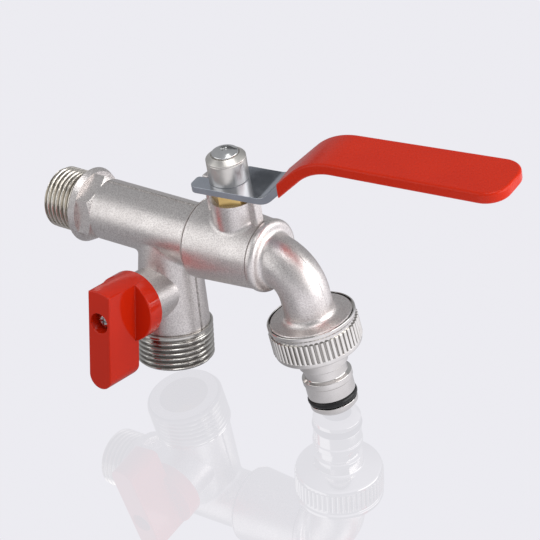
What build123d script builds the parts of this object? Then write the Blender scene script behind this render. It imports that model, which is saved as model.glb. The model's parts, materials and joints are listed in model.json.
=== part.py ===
from build123d import *
import os
from math import cos, pi, radians, sin, sqrt, tan

# A double outlet garden tap: a tee body with a small ball valve on its branch, screwed into a front body
# with a lever ball valve, an elbow spout and a hose adaptor.
# Millimetres. +X runs along the tube from the inlet to the spout, and +Z is up along the lever's stem.
# The origin lies on the tube's axis at the shoulder where the inlet thread ends.

# Fits shared by all pieces
RUN_FIT = 0.05          # radial play of a stem in its bore
LOOSE_FIT = 0.1         # radial play of seats, rings and screwed pieces
GAP = 0.3               # air between pieces that pass each other

# Inlet end of the tee body
INLET_THREAD_R = 10.4775        # half-inch pipe thread, major radius
INLET_THREAD_LENGTH = 11.0
INLET_BEVEL = 0.6
INLET_BORE_R = 7.0
COLLAR_R = 12.75
COLLAR_RIM = 1.9                # straight rim of the collar along the tube
COLLAR_LENGTH = 3.8             # collar with the slope behind its rim
HEX_FLATS = 20.4
HEX_LENGTH = 5.6
HEX_BREAK = 1.2                 # small bevel on the tube side
TUBE_R = 10.3

# Pipe threads, as plain rings without a helix
THREAD_PITCH = 1.814
THREAD_DEEP = 0.95
THREAD_HALF = 0.6               # half the width of a groove at the crests
THREAD_BEVEL = 1.0

# Joint of the two bodies
SEAM_X = 50.5
SPIGOT_R = 9.8
SEAM_SEAL_SECTION_R = 0.65
SEAM_SEAL_BACK = 4.0            # from the seam to the seal's middle

# Branch of the tee body, measured down from the tube's axis
BRANCH_X = 34.6
BRANCH_LEAN = 9.6               # degrees that the tee is turned about the tube, bottom to the front
NECK_SET_IN = 0.7
NECK_TOP_R = TUBE_R - NECK_SET_IN
NECK_FOOT_R = 12.25
NECK_FOOT = 34.6
BRANCH_THREAD_R = 13.22         # three-quarter-inch pipe thread, major radius
BRANCH_END = 47.6
BRANCH_PORT_R = 4.6
BRANCH_ROOT_ROUND = 2.0
SIDE_BOSS_R = 9.0
SIDE_BOSS_END = 17.9            # from the branch's axis to the boss's end face

# Branch valve
BRANCH_VALVE = 20.6             # from the tube's axis down to the branch ball's centre
BRANCH_BALL_R = 7.0
BRANCH_SEAT_DEEP = 3.2
BRANCH_RETAINER_LENGTH = 5.0
BRANCH_RETAINER_BORE_R = 5.2
BRANCH_OUTLET_R = 8.5
BRANCH_STEM_R = 3.2
BRANCH_COLLAR_R = 4.2
BRANCH_COLLAR_LENGTH = 1.6
BRANCH_WASHER = 0.8
BRANCH_SQUARE = 4.4
BRANCH_SQUARE_LENGTH = 8.0
BRANCH_RING_SECTION_R = 0.55
BRANCH_RING_FROM_END = 4.5      # from the boss's end face in to the ring's middle

# Branch handle
HANDLE_TURN = 3.8               # degrees from straight down, bottom towards the inlet
HUB_R = 11.4
HUB_THICK = 5.9
BLADE_WIDTH = 9.1
BLADE_DROP = 24.4               # from the handle's axis to the blade's lower end
BLADE_FACE = 18.7               # from the hub's back to the blade's front face
BLADE_BACK = 4.0                # from the hub's back to the blade's back edge
BLADE_BACK_ROUND = 4.0
HANDLE_EDGE = 0.5
HANDLE_HOLE_R = 3.5
HANDLE_HOLE_DEEP = 6.5
HANDLE_SCREW_R = 1.5
HANDLE_SCREW_HEAD_R = 3.0
HANDLE_SCREW_HEAD = 2.2
HANDLE_SCREW_BITE = 6.0         # screwed length in the stem

# Front body
STEM_FROM_SEAM = 15.2
BARREL_REAR_R = 13.6
BARREL_FRONT_R = 11.75
BARREL_EDGE = 0.5
BARREL_LAND = 1.0               # plain barrel between the boss's round and the front ring
BEAD_R = 12.15
BEAD_STEP = 0.25
BEAD_LAND = 0.6
BEAD_ROUND = 1.9
BOSS_R = 7.6
BOSS_TOP = 19.9
BOSS_ROUND = 2.0
LUG_HALF_WIDTH = 1.75
LUG_OUT = 10.2                  # from the stem's axis to the outer side of each lug
LUG_IN = 7.4                    # from the stem's axis to the stop lug's inner side
LUG_EDGE = 0.6
STOP_LUG_DROP = 0.5             # stop lug's top below the lever plate's top

# Elbow and spout
ELBOW_R = 8.2
ELBOW_BORE_R = 5.6
ELBOW_BEND_R = 13.0
ELBOW_LEAD = 0.2                # from the front ring to the start of the bend
ELBOW_ROOT_ROUND = 1.8
SPOUT_TILT = 7.1                # degrees that the spout leans forward
SPOUT_STRAIGHT = 8.0            # from the end of the bend to the flange's rim plane
FLANGE_R = 13.7
FLANGE_THICK = 1.3
FLANGE_EDGE = 0.3
FLANGE_ROUND = 2.4
SPOUT_THREAD_R = 13.22          # three-quarter-inch pipe thread, major radius
SPOUT_THREAD_LENGTH = 8.2
SPOUT_MOUTH_R = 8.6
SPOUT_MOUTH_DEEP = 5.0

# Main valve
BALL_R = 8.5
BALL_PORT_R = 5.5
SEAT_DEEP = 3.5
SEAT_GRIP = 4.7                 # from the ball's centre to the seat's open face
CHAMBER_GAP = 0.7
STEM_R = 3.9
STEM_COLLAR_R = 5.2
STEM_COLLAR = 1.8
STEM_WASHER = 1.0
STEM_LEDGE = 1.4
STEM_SQUARE = 5.4               # square end that carries the lever
PACKING_R = 5.65                # bore of the packing chamber
GLAND_FLATS = 12.0
GLAND_SLEEVE = 2.6
GLAND_GAP = 0.4
TANG_HALF = 1.5                 # half thickness of the tang that turns the ball
TANG_DEEP = 2.4

# Lever
LEVER_TURN = 7.0                # degrees from in line with the tube, towards the back
LEVER_TOP = 26.6                # top of the flat plate
LEVER_THICK = 2.3
LEVER_HEAD_WIDTH = 16.6
LEVER_TAIL = 10.6               # from the stem's axis back to the plate's end
LEVER_TAIL_ROUND = 2.6
STOP_ROUND = 1.2                # corners of the plate that meet the stop lug
BEND_START = 17.0               # along the lever from the stem's axis to the corner of the first bend
BEND_SLOPE = 42.0               # degrees that the lever rises between its bends
GRIP_RISE = 17.4                # steel top of the grip above the plate's top
LOW_BEND_ROUND = 6.0            # radii of the steel's top at the two bends
HIGH_BEND_ROUND = 22.0
LEVER_TIP = 103.7
GRIP_WIDTH = 21.2
GRIP_TIP_ROUND = 7.5
TAPER_ROUND = 60.0              # plan rounding where the lever starts widening
GRIP_SKIN = 0.8
GRIP_EDGE = 0.9
SLEEVE_START = 20.7             # along the lever's middle to the vinyl's open end
SLEEVE_SLANT = 19.0             # degrees that the dipped end leans in plan
LEVER_CAP_R = 6.55
LEVER_CAP_HEIGHT = 9.4
LEVER_CAP_BEVEL = 1.2
LEVER_SCREW_R = 2.0
LEVER_SCREW_HEAD_R = 4.4
LEVER_SCREW_DOME = 1.5
LEVER_SCREW_BITE = 6.0
CAP_POCKET = 3.0                # clear height inside the cap over the plate

# Hose adaptor, measured along the spout from the flange's rim plane
ADAPTOR_LIP = 0.2               # adaptor's rim above the flange's rim plane
ADAPTOR_MOUTH = 2.0             # depth of the plain mouth round the flange
ADAPTOR_RIM_R = 14.6
ADAPTOR_RIM = 3.3
KNURL_R = 14.95                 # over the crests of the knurled band
KNURL_LENGTH = 7.0
ADAPTOR_BAND_R = 14.5
ADAPTOR_BAND = 1.7
ADAPTOR_BAND_ROUND = 1.0
ADAPTOR_WASHER = 2.0
ADAPTOR_WASHER_BORE_R = 7.4
ADAPTOR_BORE_R = 4.8
ADAPTOR_NECK_R = 8.2
ADAPTOR_NECK_END = 18.0
ADAPTOR_WAIST_R = 7.15
ADAPTOR_CATCH_R = 8.35
ADAPTOR_CATCH = 21.6
ADAPTOR_CATCH_LENGTH = 2.6
ADAPTOR_NOSE_R = 8.0
ADAPTOR_RING_AT = 30.5
ADAPTOR_RING_SECTION_R = 1.3
ADAPTOR_RING_OUT_R = 8.35
ADAPTOR_TIP_R = 6.6
ADAPTOR_END = 34.8
CONE_DEEP = 1.6                 # slope of the adaptor's underside from its band to its neck

# Values worked out from the sizes above
HEX_END = COLLAR_LENGTH + HEX_LENGTH
HEX_CORNER_R = HEX_FLATS / sqrt(3)
STEM_X = SEAM_X + STEM_FROM_SEAM
FRONT_RING_X = STEM_X + BOSS_R + BOSS_ROUND + BARREL_LAND
ELBOW_START_X = FRONT_RING_X + ELBOW_LEAD
CHAMBER_R = BALL_R + CHAMBER_GAP
SEAT_BORE_R = BALL_PORT_R + LOOSE_FIT
SEAT_END = SEAT_GRIP + SEAT_DEEP
SPIGOT_END = STEM_X - SEAT_END
CHAMBER_END = STEM_X + SEAT_END
BRANCH_CHAMBER_R = BRANCH_BALL_R + CHAMBER_GAP
BRANCH_SEAT_GRIP = BRANCH_BALL_R * SEAT_GRIP / BALL_R
BRANCH_SEAT_END = BRANCH_SEAT_GRIP + BRANCH_SEAT_DEEP
COLLAR_SEAT = CHAMBER_R + STEM_COLLAR + STEM_WASHER
PACKING_FLOOR = COLLAR_SEAT + STEM_LEDGE
PACKING_SECTION_R = (PACKING_R - STEM_R - RUN_FIT) / 2 - LOOSE_FIT / 2
BRANCH_COLLAR_SEAT = BRANCH_CHAMBER_R + BRANCH_COLLAR_LENGTH + BRANCH_WASHER
BRANCH_RING_AT = SIDE_BOSS_END - BRANCH_RING_FROM_END
BRANCH_RING_MIDDLE_R = BRANCH_STEM_R + RUN_FIT - BRANCH_RING_SECTION_R
HUB_BACK = SIDE_BOSS_END + GAP
LEVER_UNDER = LEVER_TOP - LEVER_THICK
GLAND_TOP = LEVER_UNDER - GLAND_GAP
CAP_TOP = LEVER_TOP + LEVER_CAP_HEIGHT
GRIP_START = BEND_START + GRIP_RISE / tan(radians(BEND_SLOPE))
TILT = radians(SPOUT_TILT)
BEND_ANGLE = 90 - SPOUT_TILT
BEND_END = Vector(ELBOW_START_X + ELBOW_BEND_R * cos(TILT), 0, ELBOW_BEND_R * (sin(TILT) - 1))
SPOUT_WAY = Vector(sin(TILT), 0, -cos(TILT))
SPOUT_AT = BEND_END + SPOUT_WAY * SPOUT_STRAIGHT
ADAPTOR_FLOOR = SPOUT_THREAD_LENGTH + ADAPTOR_WASHER
KNURL_START = ADAPTOR_RIM - ADAPTOR_LIP
KNURL_END = KNURL_START + KNURL_LENGTH
BAND_END = KNURL_END + ADAPTOR_BAND

# Frames of the axes: local Z runs along each axis
TUBE = Plane((0, 0, 0), x_dir=(0, 1, 0), z_dir=(1, 0, 0))
STEM = Plane((STEM_X, 0, 0), x_dir=(1, 0, 0), z_dir=(0, 0, 1))
BRANCH = Plane((BRANCH_X, 0, 0), x_dir=(1, 0, 0), z_dir=(0, 0, -1))
HANDLE = Plane((BRANCH_X, 0, -BRANCH_VALVE), x_dir=(1, 0, 0), z_dir=(0, -1, 0))
SPOUT = Plane(SPOUT_AT, x_dir=(cos(TILT), 0, sin(TILT)), z_dir=SPOUT_WAY)
LEAN = Rot(-BRANCH_LEAN, 0, 0)
LEVER = STEM * Rot(0, 0, LEVER_TURN)
TURN = Rot(0, 0, -HANDLE_TURN)


def turned(*points, rounds=()):
    """A solid turned about local Z from (radius, height) points; rounds holds (point, radius) pairs."""
    face = make_face(Polyline(*[(r, 0, h) for r, h in points], close=True)).face()
    for (r, h), radius in rounds:
        corner = face.vertices().sort_by_distance((r, 0, h))[0]
        face = face.fillet_2d(radius, [corner])
    return revolve(face, Axis.Z)


def rod(radius, start, end):
    """A plain round bar along local Z."""
    return Pos(0, 0, start) * extrude(Circle(radius), end - start)


def ring(inner, outer, start, end):
    """A plain flat ring along local Z."""
    return Pos(0, 0, start) * extrude(Circle(outer) - Circle(inner), end - start)


def o_ring(middle_r, section_r, height):
    """A round-section ring about local Z."""
    return Pos(0, 0, height) * Torus(middle_r, section_r)


def thread_line(radius, start, end):
    """Outline points of a ring thread from start to end along an axis, with plain crests at both ends."""
    count = int((end - start) / THREAD_PITCH)
    first = (start + end - (count - 1) * THREAD_PITCH) / 2
    points = [(radius, start)]
    for step in range(count):
        middle = first + step * THREAD_PITCH
        points.append((radius, middle - THREAD_HALF))
        points.append((radius - THREAD_DEEP, middle))
        points.append((radius, middle + THREAD_HALF))
    return points + [(radius, end)]


def hexagon_bar(flats, start, end):
    """A hexagonal bar along local Z, with two flats facing local Y."""
    outline = RegularPolygon(flats / 2, 6, major_radius=False, rotation=30)
    return Pos(0, 0, start) * extrude(outline, end - start)


def join_edges(solid):
    """The curves where two round forms of a casting run into each other."""
    return solid.edges().filter_by(lambda e: e.geom_type not in (GeomType.LINE, GeomType.CIRCLE))


def valve_ball(ball_r, port_r, tang_half, tang_deep):
    """A ball about the origin with its port along X and the stem's slot on top."""
    slot_floor = ball_r - tang_deep
    slot = Pos(0, 0, slot_floor + ball_r / 2) * Box(2 * ball_r, 2 * tang_half, ball_r)
    port = Plane.YZ * Pos(0, 0, -ball_r) * extrude(Circle(port_r), 2 * ball_r)
    return Sphere(ball_r) - port - slot


def valve_seat(ball_r, bore_r, outer_r, grip, deep):
    """A seat ring along local Z, dished for a ball about the origin."""
    return ring(bore_r, outer_r, grip, grip + deep) - Sphere(ball_r + LOOSE_FIT)


def rear_body():
    """The tee casting: inlet thread, collar, hexagon, tube, screwed spigot and branch."""
    tube = TUBE * rod(TUBE_R, HEX_END, SEAM_X)
    neck = BRANCH * turned((0, 0), (NECK_TOP_R, 0), (NECK_FOOT_R, NECK_FOOT), (0, NECK_FOOT))
    cast = tube + neck
    cast = fillet(join_edges(cast), BRANCH_ROOT_ROUND)
    boss = HANDLE * rod(SIDE_BOSS_R, 0, SIDE_BOSS_END)
    cast = cast + boss
    hexagon = hexagon_bar(HEX_FLATS, COLLAR_LENGTH, HEX_END) & turned(
        (0, COLLAR_LENGTH),
        (HEX_CORNER_R, COLLAR_LENGTH),
        (HEX_CORNER_R, HEX_END - HEX_BREAK),
        (TUBE_R, HEX_END),
        (0, HEX_END),
    )
    inlet = turned(
        (0, -INLET_THREAD_LENGTH),
        (INLET_THREAD_R - INLET_BEVEL, -INLET_THREAD_LENGTH),
        *thread_line(INLET_THREAD_R, INLET_BEVEL - INLET_THREAD_LENGTH, 0),
        (COLLAR_R, 0),
        (COLLAR_R, COLLAR_RIM),
        (HEX_CORNER_R, COLLAR_LENGTH),
        (0, COLLAR_LENGTH),
    )
    outlet = turned(
        (0, NECK_FOOT),
        (NECK_FOOT_R, NECK_FOOT),
        *thread_line(BRANCH_THREAD_R, NECK_FOOT + THREAD_BEVEL, BRANCH_END - THREAD_BEVEL),
        (BRANCH_THREAD_R - THREAD_BEVEL, BRANCH_END),
        (0, BRANCH_END),
    )
    spigot = TUBE * rod(SPIGOT_R, SEAM_X, SPIGOT_END)
    groove_r = SPIGOT_R - 2 * SEAM_SEAL_SECTION_R
    groove_half = SEAM_SEAL_SECTION_R + LOOSE_FIT
    groove_x = SEAM_X + SEAM_SEAL_BACK
    groove = TUBE * ring(groove_r, TUBE_R, groove_x - groove_half, groove_x + groove_half)
    body = cast + TUBE * (hexagon + inlet) + BRANCH * outlet + spigot - groove
    body = body - TUBE * rod(INLET_BORE_R, -INLET_THREAD_LENGTH, SPIGOT_END)
    chamber_top = BRANCH_VALVE - BRANCH_SEAT_END
    chamber_foot = BRANCH_VALVE + BRANCH_SEAT_END
    body = body - BRANCH * rod(BRANCH_PORT_R, 0, chamber_top)
    body = body - BRANCH * rod(BRANCH_CHAMBER_R, chamber_top, chamber_foot)
    body = body - BRANCH * rod(BRANCH_OUTLET_R, chamber_foot, BRANCH_END)
    body = body - HANDLE * rod(BRANCH_COLLAR_R + LOOSE_FIT, 0, BRANCH_COLLAR_SEAT)
    body = body - HANDLE * rod(BRANCH_STEM_R + RUN_FIT, 0, SIDE_BOSS_END)
    return LEAN * body


def square_bar(side, start, end):
    """A square bar along local Z."""
    return Pos(0, 0, start) * extrude(Rectangle(side, side), end - start)


def stem_tang(ball_r, chamber_r, reach):
    """The flat tongue under a stem's collar that sits in the ball's slot, along local X."""
    floor = ball_r - TANG_DEEP + GAP
    high = chamber_r - floor
    return Pos(0, 0, floor + high / 2) * Box(2 * reach, 2 * (TANG_HALF - RUN_FIT), high)


def branch_stem():
    """The branch valve's stem along local Z: tang, collar, grooved shaft and drilled square."""
    collar_seat = BRANCH_COLLAR_SEAT - BRANCH_WASHER
    square_end = HUB_BACK + BRANCH_SQUARE_LENGTH
    tang = stem_tang(BRANCH_BALL_R, BRANCH_CHAMBER_R, BRANCH_STEM_R)
    shaft = rod(BRANCH_STEM_R, BRANCH_CHAMBER_R, HUB_BACK)
    collar = rod(BRANCH_COLLAR_R, BRANCH_CHAMBER_R, collar_seat)
    square = square_bar(BRANCH_SQUARE, HUB_BACK, square_end)
    groove_half = BRANCH_RING_SECTION_R + RUN_FIT
    groove_r = BRANCH_RING_MIDDLE_R - BRANCH_RING_SECTION_R - RUN_FIT
    groove = ring(groove_r, BRANCH_COLLAR_R, BRANCH_RING_AT - groove_half, BRANCH_RING_AT + groove_half)
    drilled = rod(HANDLE_SCREW_R + RUN_FIT, square_end - HANDLE_SCREW_BITE - GAP, square_end)
    return Rot(0, 0, 90) * tang + shaft + collar + square - groove - drilled


def branch_handle():
    """The moulded handle along local Z: a round hub and a deep blade with a rounded lower end."""
    blade_r = BLADE_WIDTH / 2
    straight = BLADE_DROP - blade_r
    front = HUB_BACK + BLADE_FACE
    hub = rod(HUB_R, HUB_BACK, HUB_BACK + HUB_THICK)
    hub = fillet(hub.edges().filter_by(GeomType.CIRCLE), HANDLE_EDGE)
    column = Pos(0, (HUB_R - straight) / 2) * Rectangle(BLADE_WIDTH, HUB_R + straight)
    foot = Pos(0, -straight) * Circle(blade_r)
    crown = Circle(HUB_R) + Pos(0, -BLADE_DROP / 2) * Rectangle(BLADE_WIDTH, BLADE_DROP)
    blade = Pos(0, 0, HUB_BACK + BLADE_BACK) * extrude((column + foot) & crown, BLADE_FACE - BLADE_BACK)
    deep = BLADE_FACE - BLADE_BACK
    side = Rectangle(deep, HUB_R + BLADE_DROP)
    back_corner = side.vertices().sort_by_distance((-deep / 2, -HUB_R - BLADE_DROP))[0]
    side = fillet(back_corner, BLADE_BACK_ROUND)
    side_at = Plane((0, (HUB_R - BLADE_DROP) / 2, front - deep / 2), x_dir=(0, 0, 1), z_dir=(-1, 0, 0))
    blade = blade & extrude(side_at * side, BLADE_WIDTH, both=True)
    blade = fillet(blade.faces().sort_by(Axis.Z)[-1].edges(), HANDLE_EDGE)
    handle = hub + blade
    socket_side = BRANCH_SQUARE + 2 * RUN_FIT
    socket = square_bar(socket_side, HUB_BACK, HUB_BACK + BRANCH_SQUARE_LENGTH + GAP)
    sink = rod(HANDLE_HOLE_R, front - HANDLE_HOLE_DEEP, front)
    drilled = rod(HANDLE_SCREW_R + LOOSE_FIT, HUB_BACK, front)
    return handle - socket - sink - drilled


def handle_screw():
    """The screw sunk in the handle's blade along local Z."""
    seat = HUB_BACK + BLADE_FACE - HANDLE_HOLE_DEEP
    tip = HUB_BACK + BRANCH_SQUARE_LENGTH - HANDLE_SCREW_BITE
    head = turned(
        (0, seat),
        (HANDLE_SCREW_HEAD_R, seat),
        (HANDLE_SCREW_HEAD_R, seat + HANDLE_SCREW_HEAD / 2),
        (HANDLE_SCREW_HEAD_R / 2, seat + HANDLE_SCREW_HEAD),
        (0, seat + HANDLE_SCREW_HEAD),
    )
    return head + rod(HANDLE_SCREW_R, tip, seat)


def branch_pieces():
    """The valve and handle of the branch, leaning with the tee."""
    centre = Pos(BRANCH_X, 0, -BRANCH_VALVE)
    outer_r = BRANCH_CHAMBER_R - LOOSE_FIT
    ball = valve_ball(BRANCH_BALL_R, BRANCH_PORT_R - LOOSE_FIT, TANG_HALF, TANG_DEEP)
    seat = valve_seat(BRANCH_BALL_R, BRANCH_PORT_R, outer_r, BRANCH_SEAT_GRIP, BRANCH_SEAT_DEEP)
    retainer_top = BRANCH_VALVE + BRANCH_SEAT_END
    retainer_end = retainer_top + BRANCH_RETAINER_LENGTH
    retainer = ring(BRANCH_RETAINER_BORE_R, BRANCH_OUTLET_R - LOOSE_FIT, retainer_top, retainer_end)
    washer_start = BRANCH_COLLAR_SEAT - BRANCH_WASHER
    washer = ring(BRANCH_STEM_R + LOOSE_FIT, BRANCH_COLLAR_R, washer_start, BRANCH_COLLAR_SEAT)
    seal = o_ring(BRANCH_RING_MIDDLE_R, BRANCH_RING_SECTION_R - RUN_FIT / 2, BRANCH_RING_AT)
    fixed = {
        "branch_seat_upper": centre * seat,
        "branch_seat_lower": centre * Rot(180, 0, 0) * seat,
        "branch_retainer": BRANCH * retainer,
        "branch_stem_thrust_washer": HANDLE * washer,
    }
    turning = {
        "branch_ball": Rot(0, 0, 90) * ball,
        "branch_stem": branch_stem(),
        "branch_stem_o_ring": seal,
        "branch_handle": branch_handle(),
        "branch_handle_screw": handle_screw(),
    }
    fixed.update({name: HANDLE * (TURN * solid) for name, solid in turning.items()})
    return {name: LEAN * solid for name, solid in fixed.items()}


def bend(radius):
    """A round bar that follows the elbow's bend."""
    start = Plane((ELBOW_START_X, 0, 0), z_dir=(1, 0, 0)) * Circle(radius)
    return revolve(start, Axis((ELBOW_START_X, 0, -ELBOW_BEND_R), (0, 1, 0)), BEND_ANGLE)


def lug(inner, outer, top):
    """An upright cast lug on the stem's line, between two distances along the tube."""
    block = Pos((inner + outer) / 2, 0, top / 2) * Box(abs(outer - inner), 2 * LUG_HALF_WIDTH, top)
    uprights = block.edges().filter_by(Axis.Z)
    return fillet(block.faces().sort_by(Axis.Z)[-1].edges() + uprights, LUG_EDGE)


def front_body():
    """The valve casting: barrel, stem boss, lugs, bead, elbow, flange and spout thread."""
    bead_start = FRONT_RING_X + BEAD_STEP
    bead_end = bead_start + BEAD_LAND + BEAD_ROUND
    barrel = turned(
        (0, SEAM_X),
        (BARREL_REAR_R - BARREL_EDGE, SEAM_X),
        (BARREL_REAR_R, SEAM_X + BARREL_EDGE),
        (BARREL_FRONT_R, FRONT_RING_X),
        (BEAD_R, bead_start),
        (BEAD_R, bead_end),
        (0, bead_end),
        rounds=[((BEAD_R, bead_end), BEAD_ROUND)],
    )
    cast = TUBE * barrel + STEM * rod(BOSS_R, 0, BOSS_TOP)
    cast = fillet(join_edges(cast), BOSS_ROUND)
    stop_lug = lug(-LUG_OUT, -LUG_IN, LEVER_TOP - STOP_LUG_DROP)
    rest_lug = lug(BOSS_R - LUG_EDGE, LUG_OUT, LEVER_UNDER - GAP)
    spout = turned(
        (0, -SPOUT_STRAIGHT),
        (ELBOW_R, -SPOUT_STRAIGHT),
        (ELBOW_R, 0),
        (FLANGE_R - FLANGE_EDGE, 0),
        (FLANGE_R, FLANGE_EDGE),
        (FLANGE_R, FLANGE_THICK),
        (SPOUT_THREAD_R, FLANGE_THICK),
        (SPOUT_THREAD_R, SPOUT_THREAD_LENGTH - THREAD_BEVEL),
        (SPOUT_THREAD_R - THREAD_BEVEL, SPOUT_THREAD_LENGTH),
        (0, SPOUT_THREAD_LENGTH),
        rounds=[((ELBOW_R, 0), FLANGE_ROUND)],
    )
    body = cast + STEM * stop_lug + STEM * rest_lug + bend(ELBOW_R) + SPOUT * spout
    root = body.edges().filter_by_position(Axis.X, bead_end - RUN_FIT, bead_end + RUN_FIT)
    root = root.filter_by(lambda e: e.length < 2 * pi * (BEAD_R - BEAD_ROUND))
    body = fillet(root, ELBOW_ROOT_ROUND)
    body = body - TUBE * rod(SPIGOT_R + LOOSE_FIT, SEAM_X, SPIGOT_END)
    body = body - TUBE * rod(CHAMBER_R, SPIGOT_END, CHAMBER_END)
    body = body - TUBE * rod(ELBOW_BORE_R, CHAMBER_END, ELBOW_START_X) - bend(ELBOW_BORE_R)
    body = body - SPOUT * rod(ELBOW_BORE_R, -SPOUT_STRAIGHT, SPOUT_THREAD_LENGTH)
    body = body - SPOUT * rod(SPOUT_MOUTH_R, SPOUT_THREAD_LENGTH - SPOUT_MOUTH_DEEP, SPOUT_THREAD_LENGTH)
    body = body - STEM * rod(STEM_COLLAR_R + LOOSE_FIT, 0, COLLAR_SEAT)
    body = body - STEM * rod(STEM_R + RUN_FIT, 0, BOSS_TOP)
    return body - STEM * rod(PACKING_R, PACKING_FLOOR, BOSS_TOP)


def main_stem():
    """The main valve's stem along local Z: tang, collar, shaft and drilled square."""
    square_end = LEVER_TOP + CAP_POCKET - GAP
    tang = stem_tang(BALL_R, CHAMBER_R, STEM_R)
    shaft = rod(STEM_R, CHAMBER_R, LEVER_UNDER)
    collar = rod(STEM_COLLAR_R, CHAMBER_R, CHAMBER_R + STEM_COLLAR)
    square = square_bar(STEM_SQUARE, LEVER_UNDER, square_end)
    drilled = rod(LEVER_SCREW_R + RUN_FIT, square_end - LEVER_SCREW_BITE - GAP, square_end)
    return tang + shaft + collar + square - drilled


def gland_nut():
    """The brass nut that holds the stem's packing, along local Z."""
    sleeve = rod(PACKING_R - LOOSE_FIT, BOSS_TOP - GLAND_SLEEVE, BOSS_TOP)
    nut = hexagon_bar(GLAND_FLATS, BOSS_TOP, GLAND_TOP)
    return sleeve + nut - rod(STEM_R + LOOSE_FIT, BOSS_TOP - GLAND_SLEEVE, GLAND_TOP)


def valve_pieces():
    """The main valve inside the front body."""
    ball = valve_ball(BALL_R, BALL_PORT_R, TANG_HALF, TANG_DEEP)
    seat = valve_seat(BALL_R, SEAT_BORE_R, CHAMBER_R - LOOSE_FIT, SEAT_GRIP, SEAT_DEEP)
    at_ball = TUBE * Pos(0, 0, STEM_X)
    seam_middle_r = SPIGOT_R + LOOSE_FIT - SEAM_SEAL_SECTION_R
    seam_seal = o_ring(seam_middle_r, SEAM_SEAL_SECTION_R - RUN_FIT / 2, SEAM_X + SEAM_SEAL_BACK)
    washer_start = COLLAR_SEAT - STEM_WASHER
    washer = ring(STEM_R + LOOSE_FIT, STEM_COLLAR_R, washer_start, COLLAR_SEAT)
    packing_middle_r = (STEM_R + PACKING_R) / 2
    lower_ring_at = PACKING_FLOOR + PACKING_SECTION_R + RUN_FIT
    upper_ring_at = lower_ring_at + 2 * PACKING_SECTION_R + RUN_FIT
    return {
        "body_joint_seal": TUBE * seam_seal,
        "main_seat_rear": at_ball * Rot(180, 0, 0) * seat,
        "main_seat_front": at_ball * seat,
        "main_ball": LEVER * ball,
        "main_stem": LEVER * main_stem(),
        "main_stem_thrust_washer": STEM * washer,
        "main_stem_o_ring_lower": STEM * o_ring(packing_middle_r, PACKING_SECTION_R, lower_ring_at),
        "main_stem_o_ring_upper": STEM * o_ring(packing_middle_r, PACKING_SECTION_R, upper_ring_at),
        "gland_nut": STEM * gland_nut(),
    }


def lever_side(start, end, above, below):
    """Side outline of the bent lever, from above over the steel's top line to below under it."""
    lean = tan(radians(BEND_SLOPE) / 2)

    def line(lift):
        """The steel's top line moved square to itself by lift."""
        shift = -lift * lean
        low = LEVER_TOP + lift
        return [
            (start, low),
            (BEND_START + shift, low),
            (GRIP_START + shift, low + GRIP_RISE),
            (end, low + GRIP_RISE),
        ]

    top, bottom = line(above), line(-below)
    points = top + bottom[::-1]
    face = make_face(Polyline(*[(x, 0, z) for x, z in points], close=True)).face()
    bends = [
        (top[1], LOW_BEND_ROUND - above),
        (top[2], HIGH_BEND_ROUND + above),
        (bottom[1], LOW_BEND_ROUND + below),
        (bottom[2], HIGH_BEND_ROUND - below),
    ]
    for (x, z), radius in bends:
        corner = face.vertices().sort_by_distance((x, 0, z))[0]
        face = face.fillet_2d(radius, [corner])
    return face


def lever_plan(start, head_half, grip_half, tip, tip_round):
    """Plan outline of the lever from a start line to its rounded tip."""
    points = [
        (start, -head_half),
        (BEND_START, -head_half),
        (tip, -grip_half),
        (tip, grip_half),
        (BEND_START, head_half),
        (start, head_half),
    ]
    face = make_face(Polyline(*points, close=True)).face()
    for place, half, radius in ((tip, grip_half, tip_round), (BEND_START, head_half, TAPER_ROUND)):
        for side in (-half, half):
            corner = face.vertices().sort_by_distance((place, side, 0))[0]
            face = face.fillet_2d(radius, [corner])
    return face


def lever_body(plan, side):
    """The solid whose plan and side outlines are the two faces."""
    tall = 2 * (LEVER_TOP + GRIP_RISE)
    return extrude(plan, tall) & extrude(side, GRIP_WIDTH, both=True)


def lever_plate():
    """The bent steel lever about local Z, with its stop notch and square hole."""
    head_half = LEVER_HEAD_WIDTH / 2
    steel_half = GRIP_WIDTH / 2 - GRIP_SKIN
    tip = LEVER_TIP - GRIP_SKIN
    clear = LUG_HALF_WIDTH + GAP
    plan = lever_plan(-LEVER_TAIL, head_half, steel_half, tip, GRIP_TIP_ROUND - GRIP_SKIN)
    reach = 2 * LEVER_TAIL
    notch = Pos(clear - reach / 2, reach / 2 - clear) * Rectangle(reach, reach) - Circle(LUG_IN - GAP)
    plan = Sketch() + plan - notch
    tail = [(-LEVER_TAIL, -head_half), (-LEVER_TAIL, -clear), (clear, head_half)]
    for corner, radius in zip(tail, (LEVER_TAIL_ROUND, STOP_ROUND, STOP_ROUND)):
        plan = fillet(plan.vertices().sort_by_distance((*corner, 0))[0], radius)
    side = lever_side(-LEVER_TAIL, tip, 0, LEVER_THICK)
    hole = square_bar(STEM_SQUARE + 2 * LOOSE_FIT, 0, LEVER_TOP)
    return lever_body(plan, side) - hole


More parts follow.
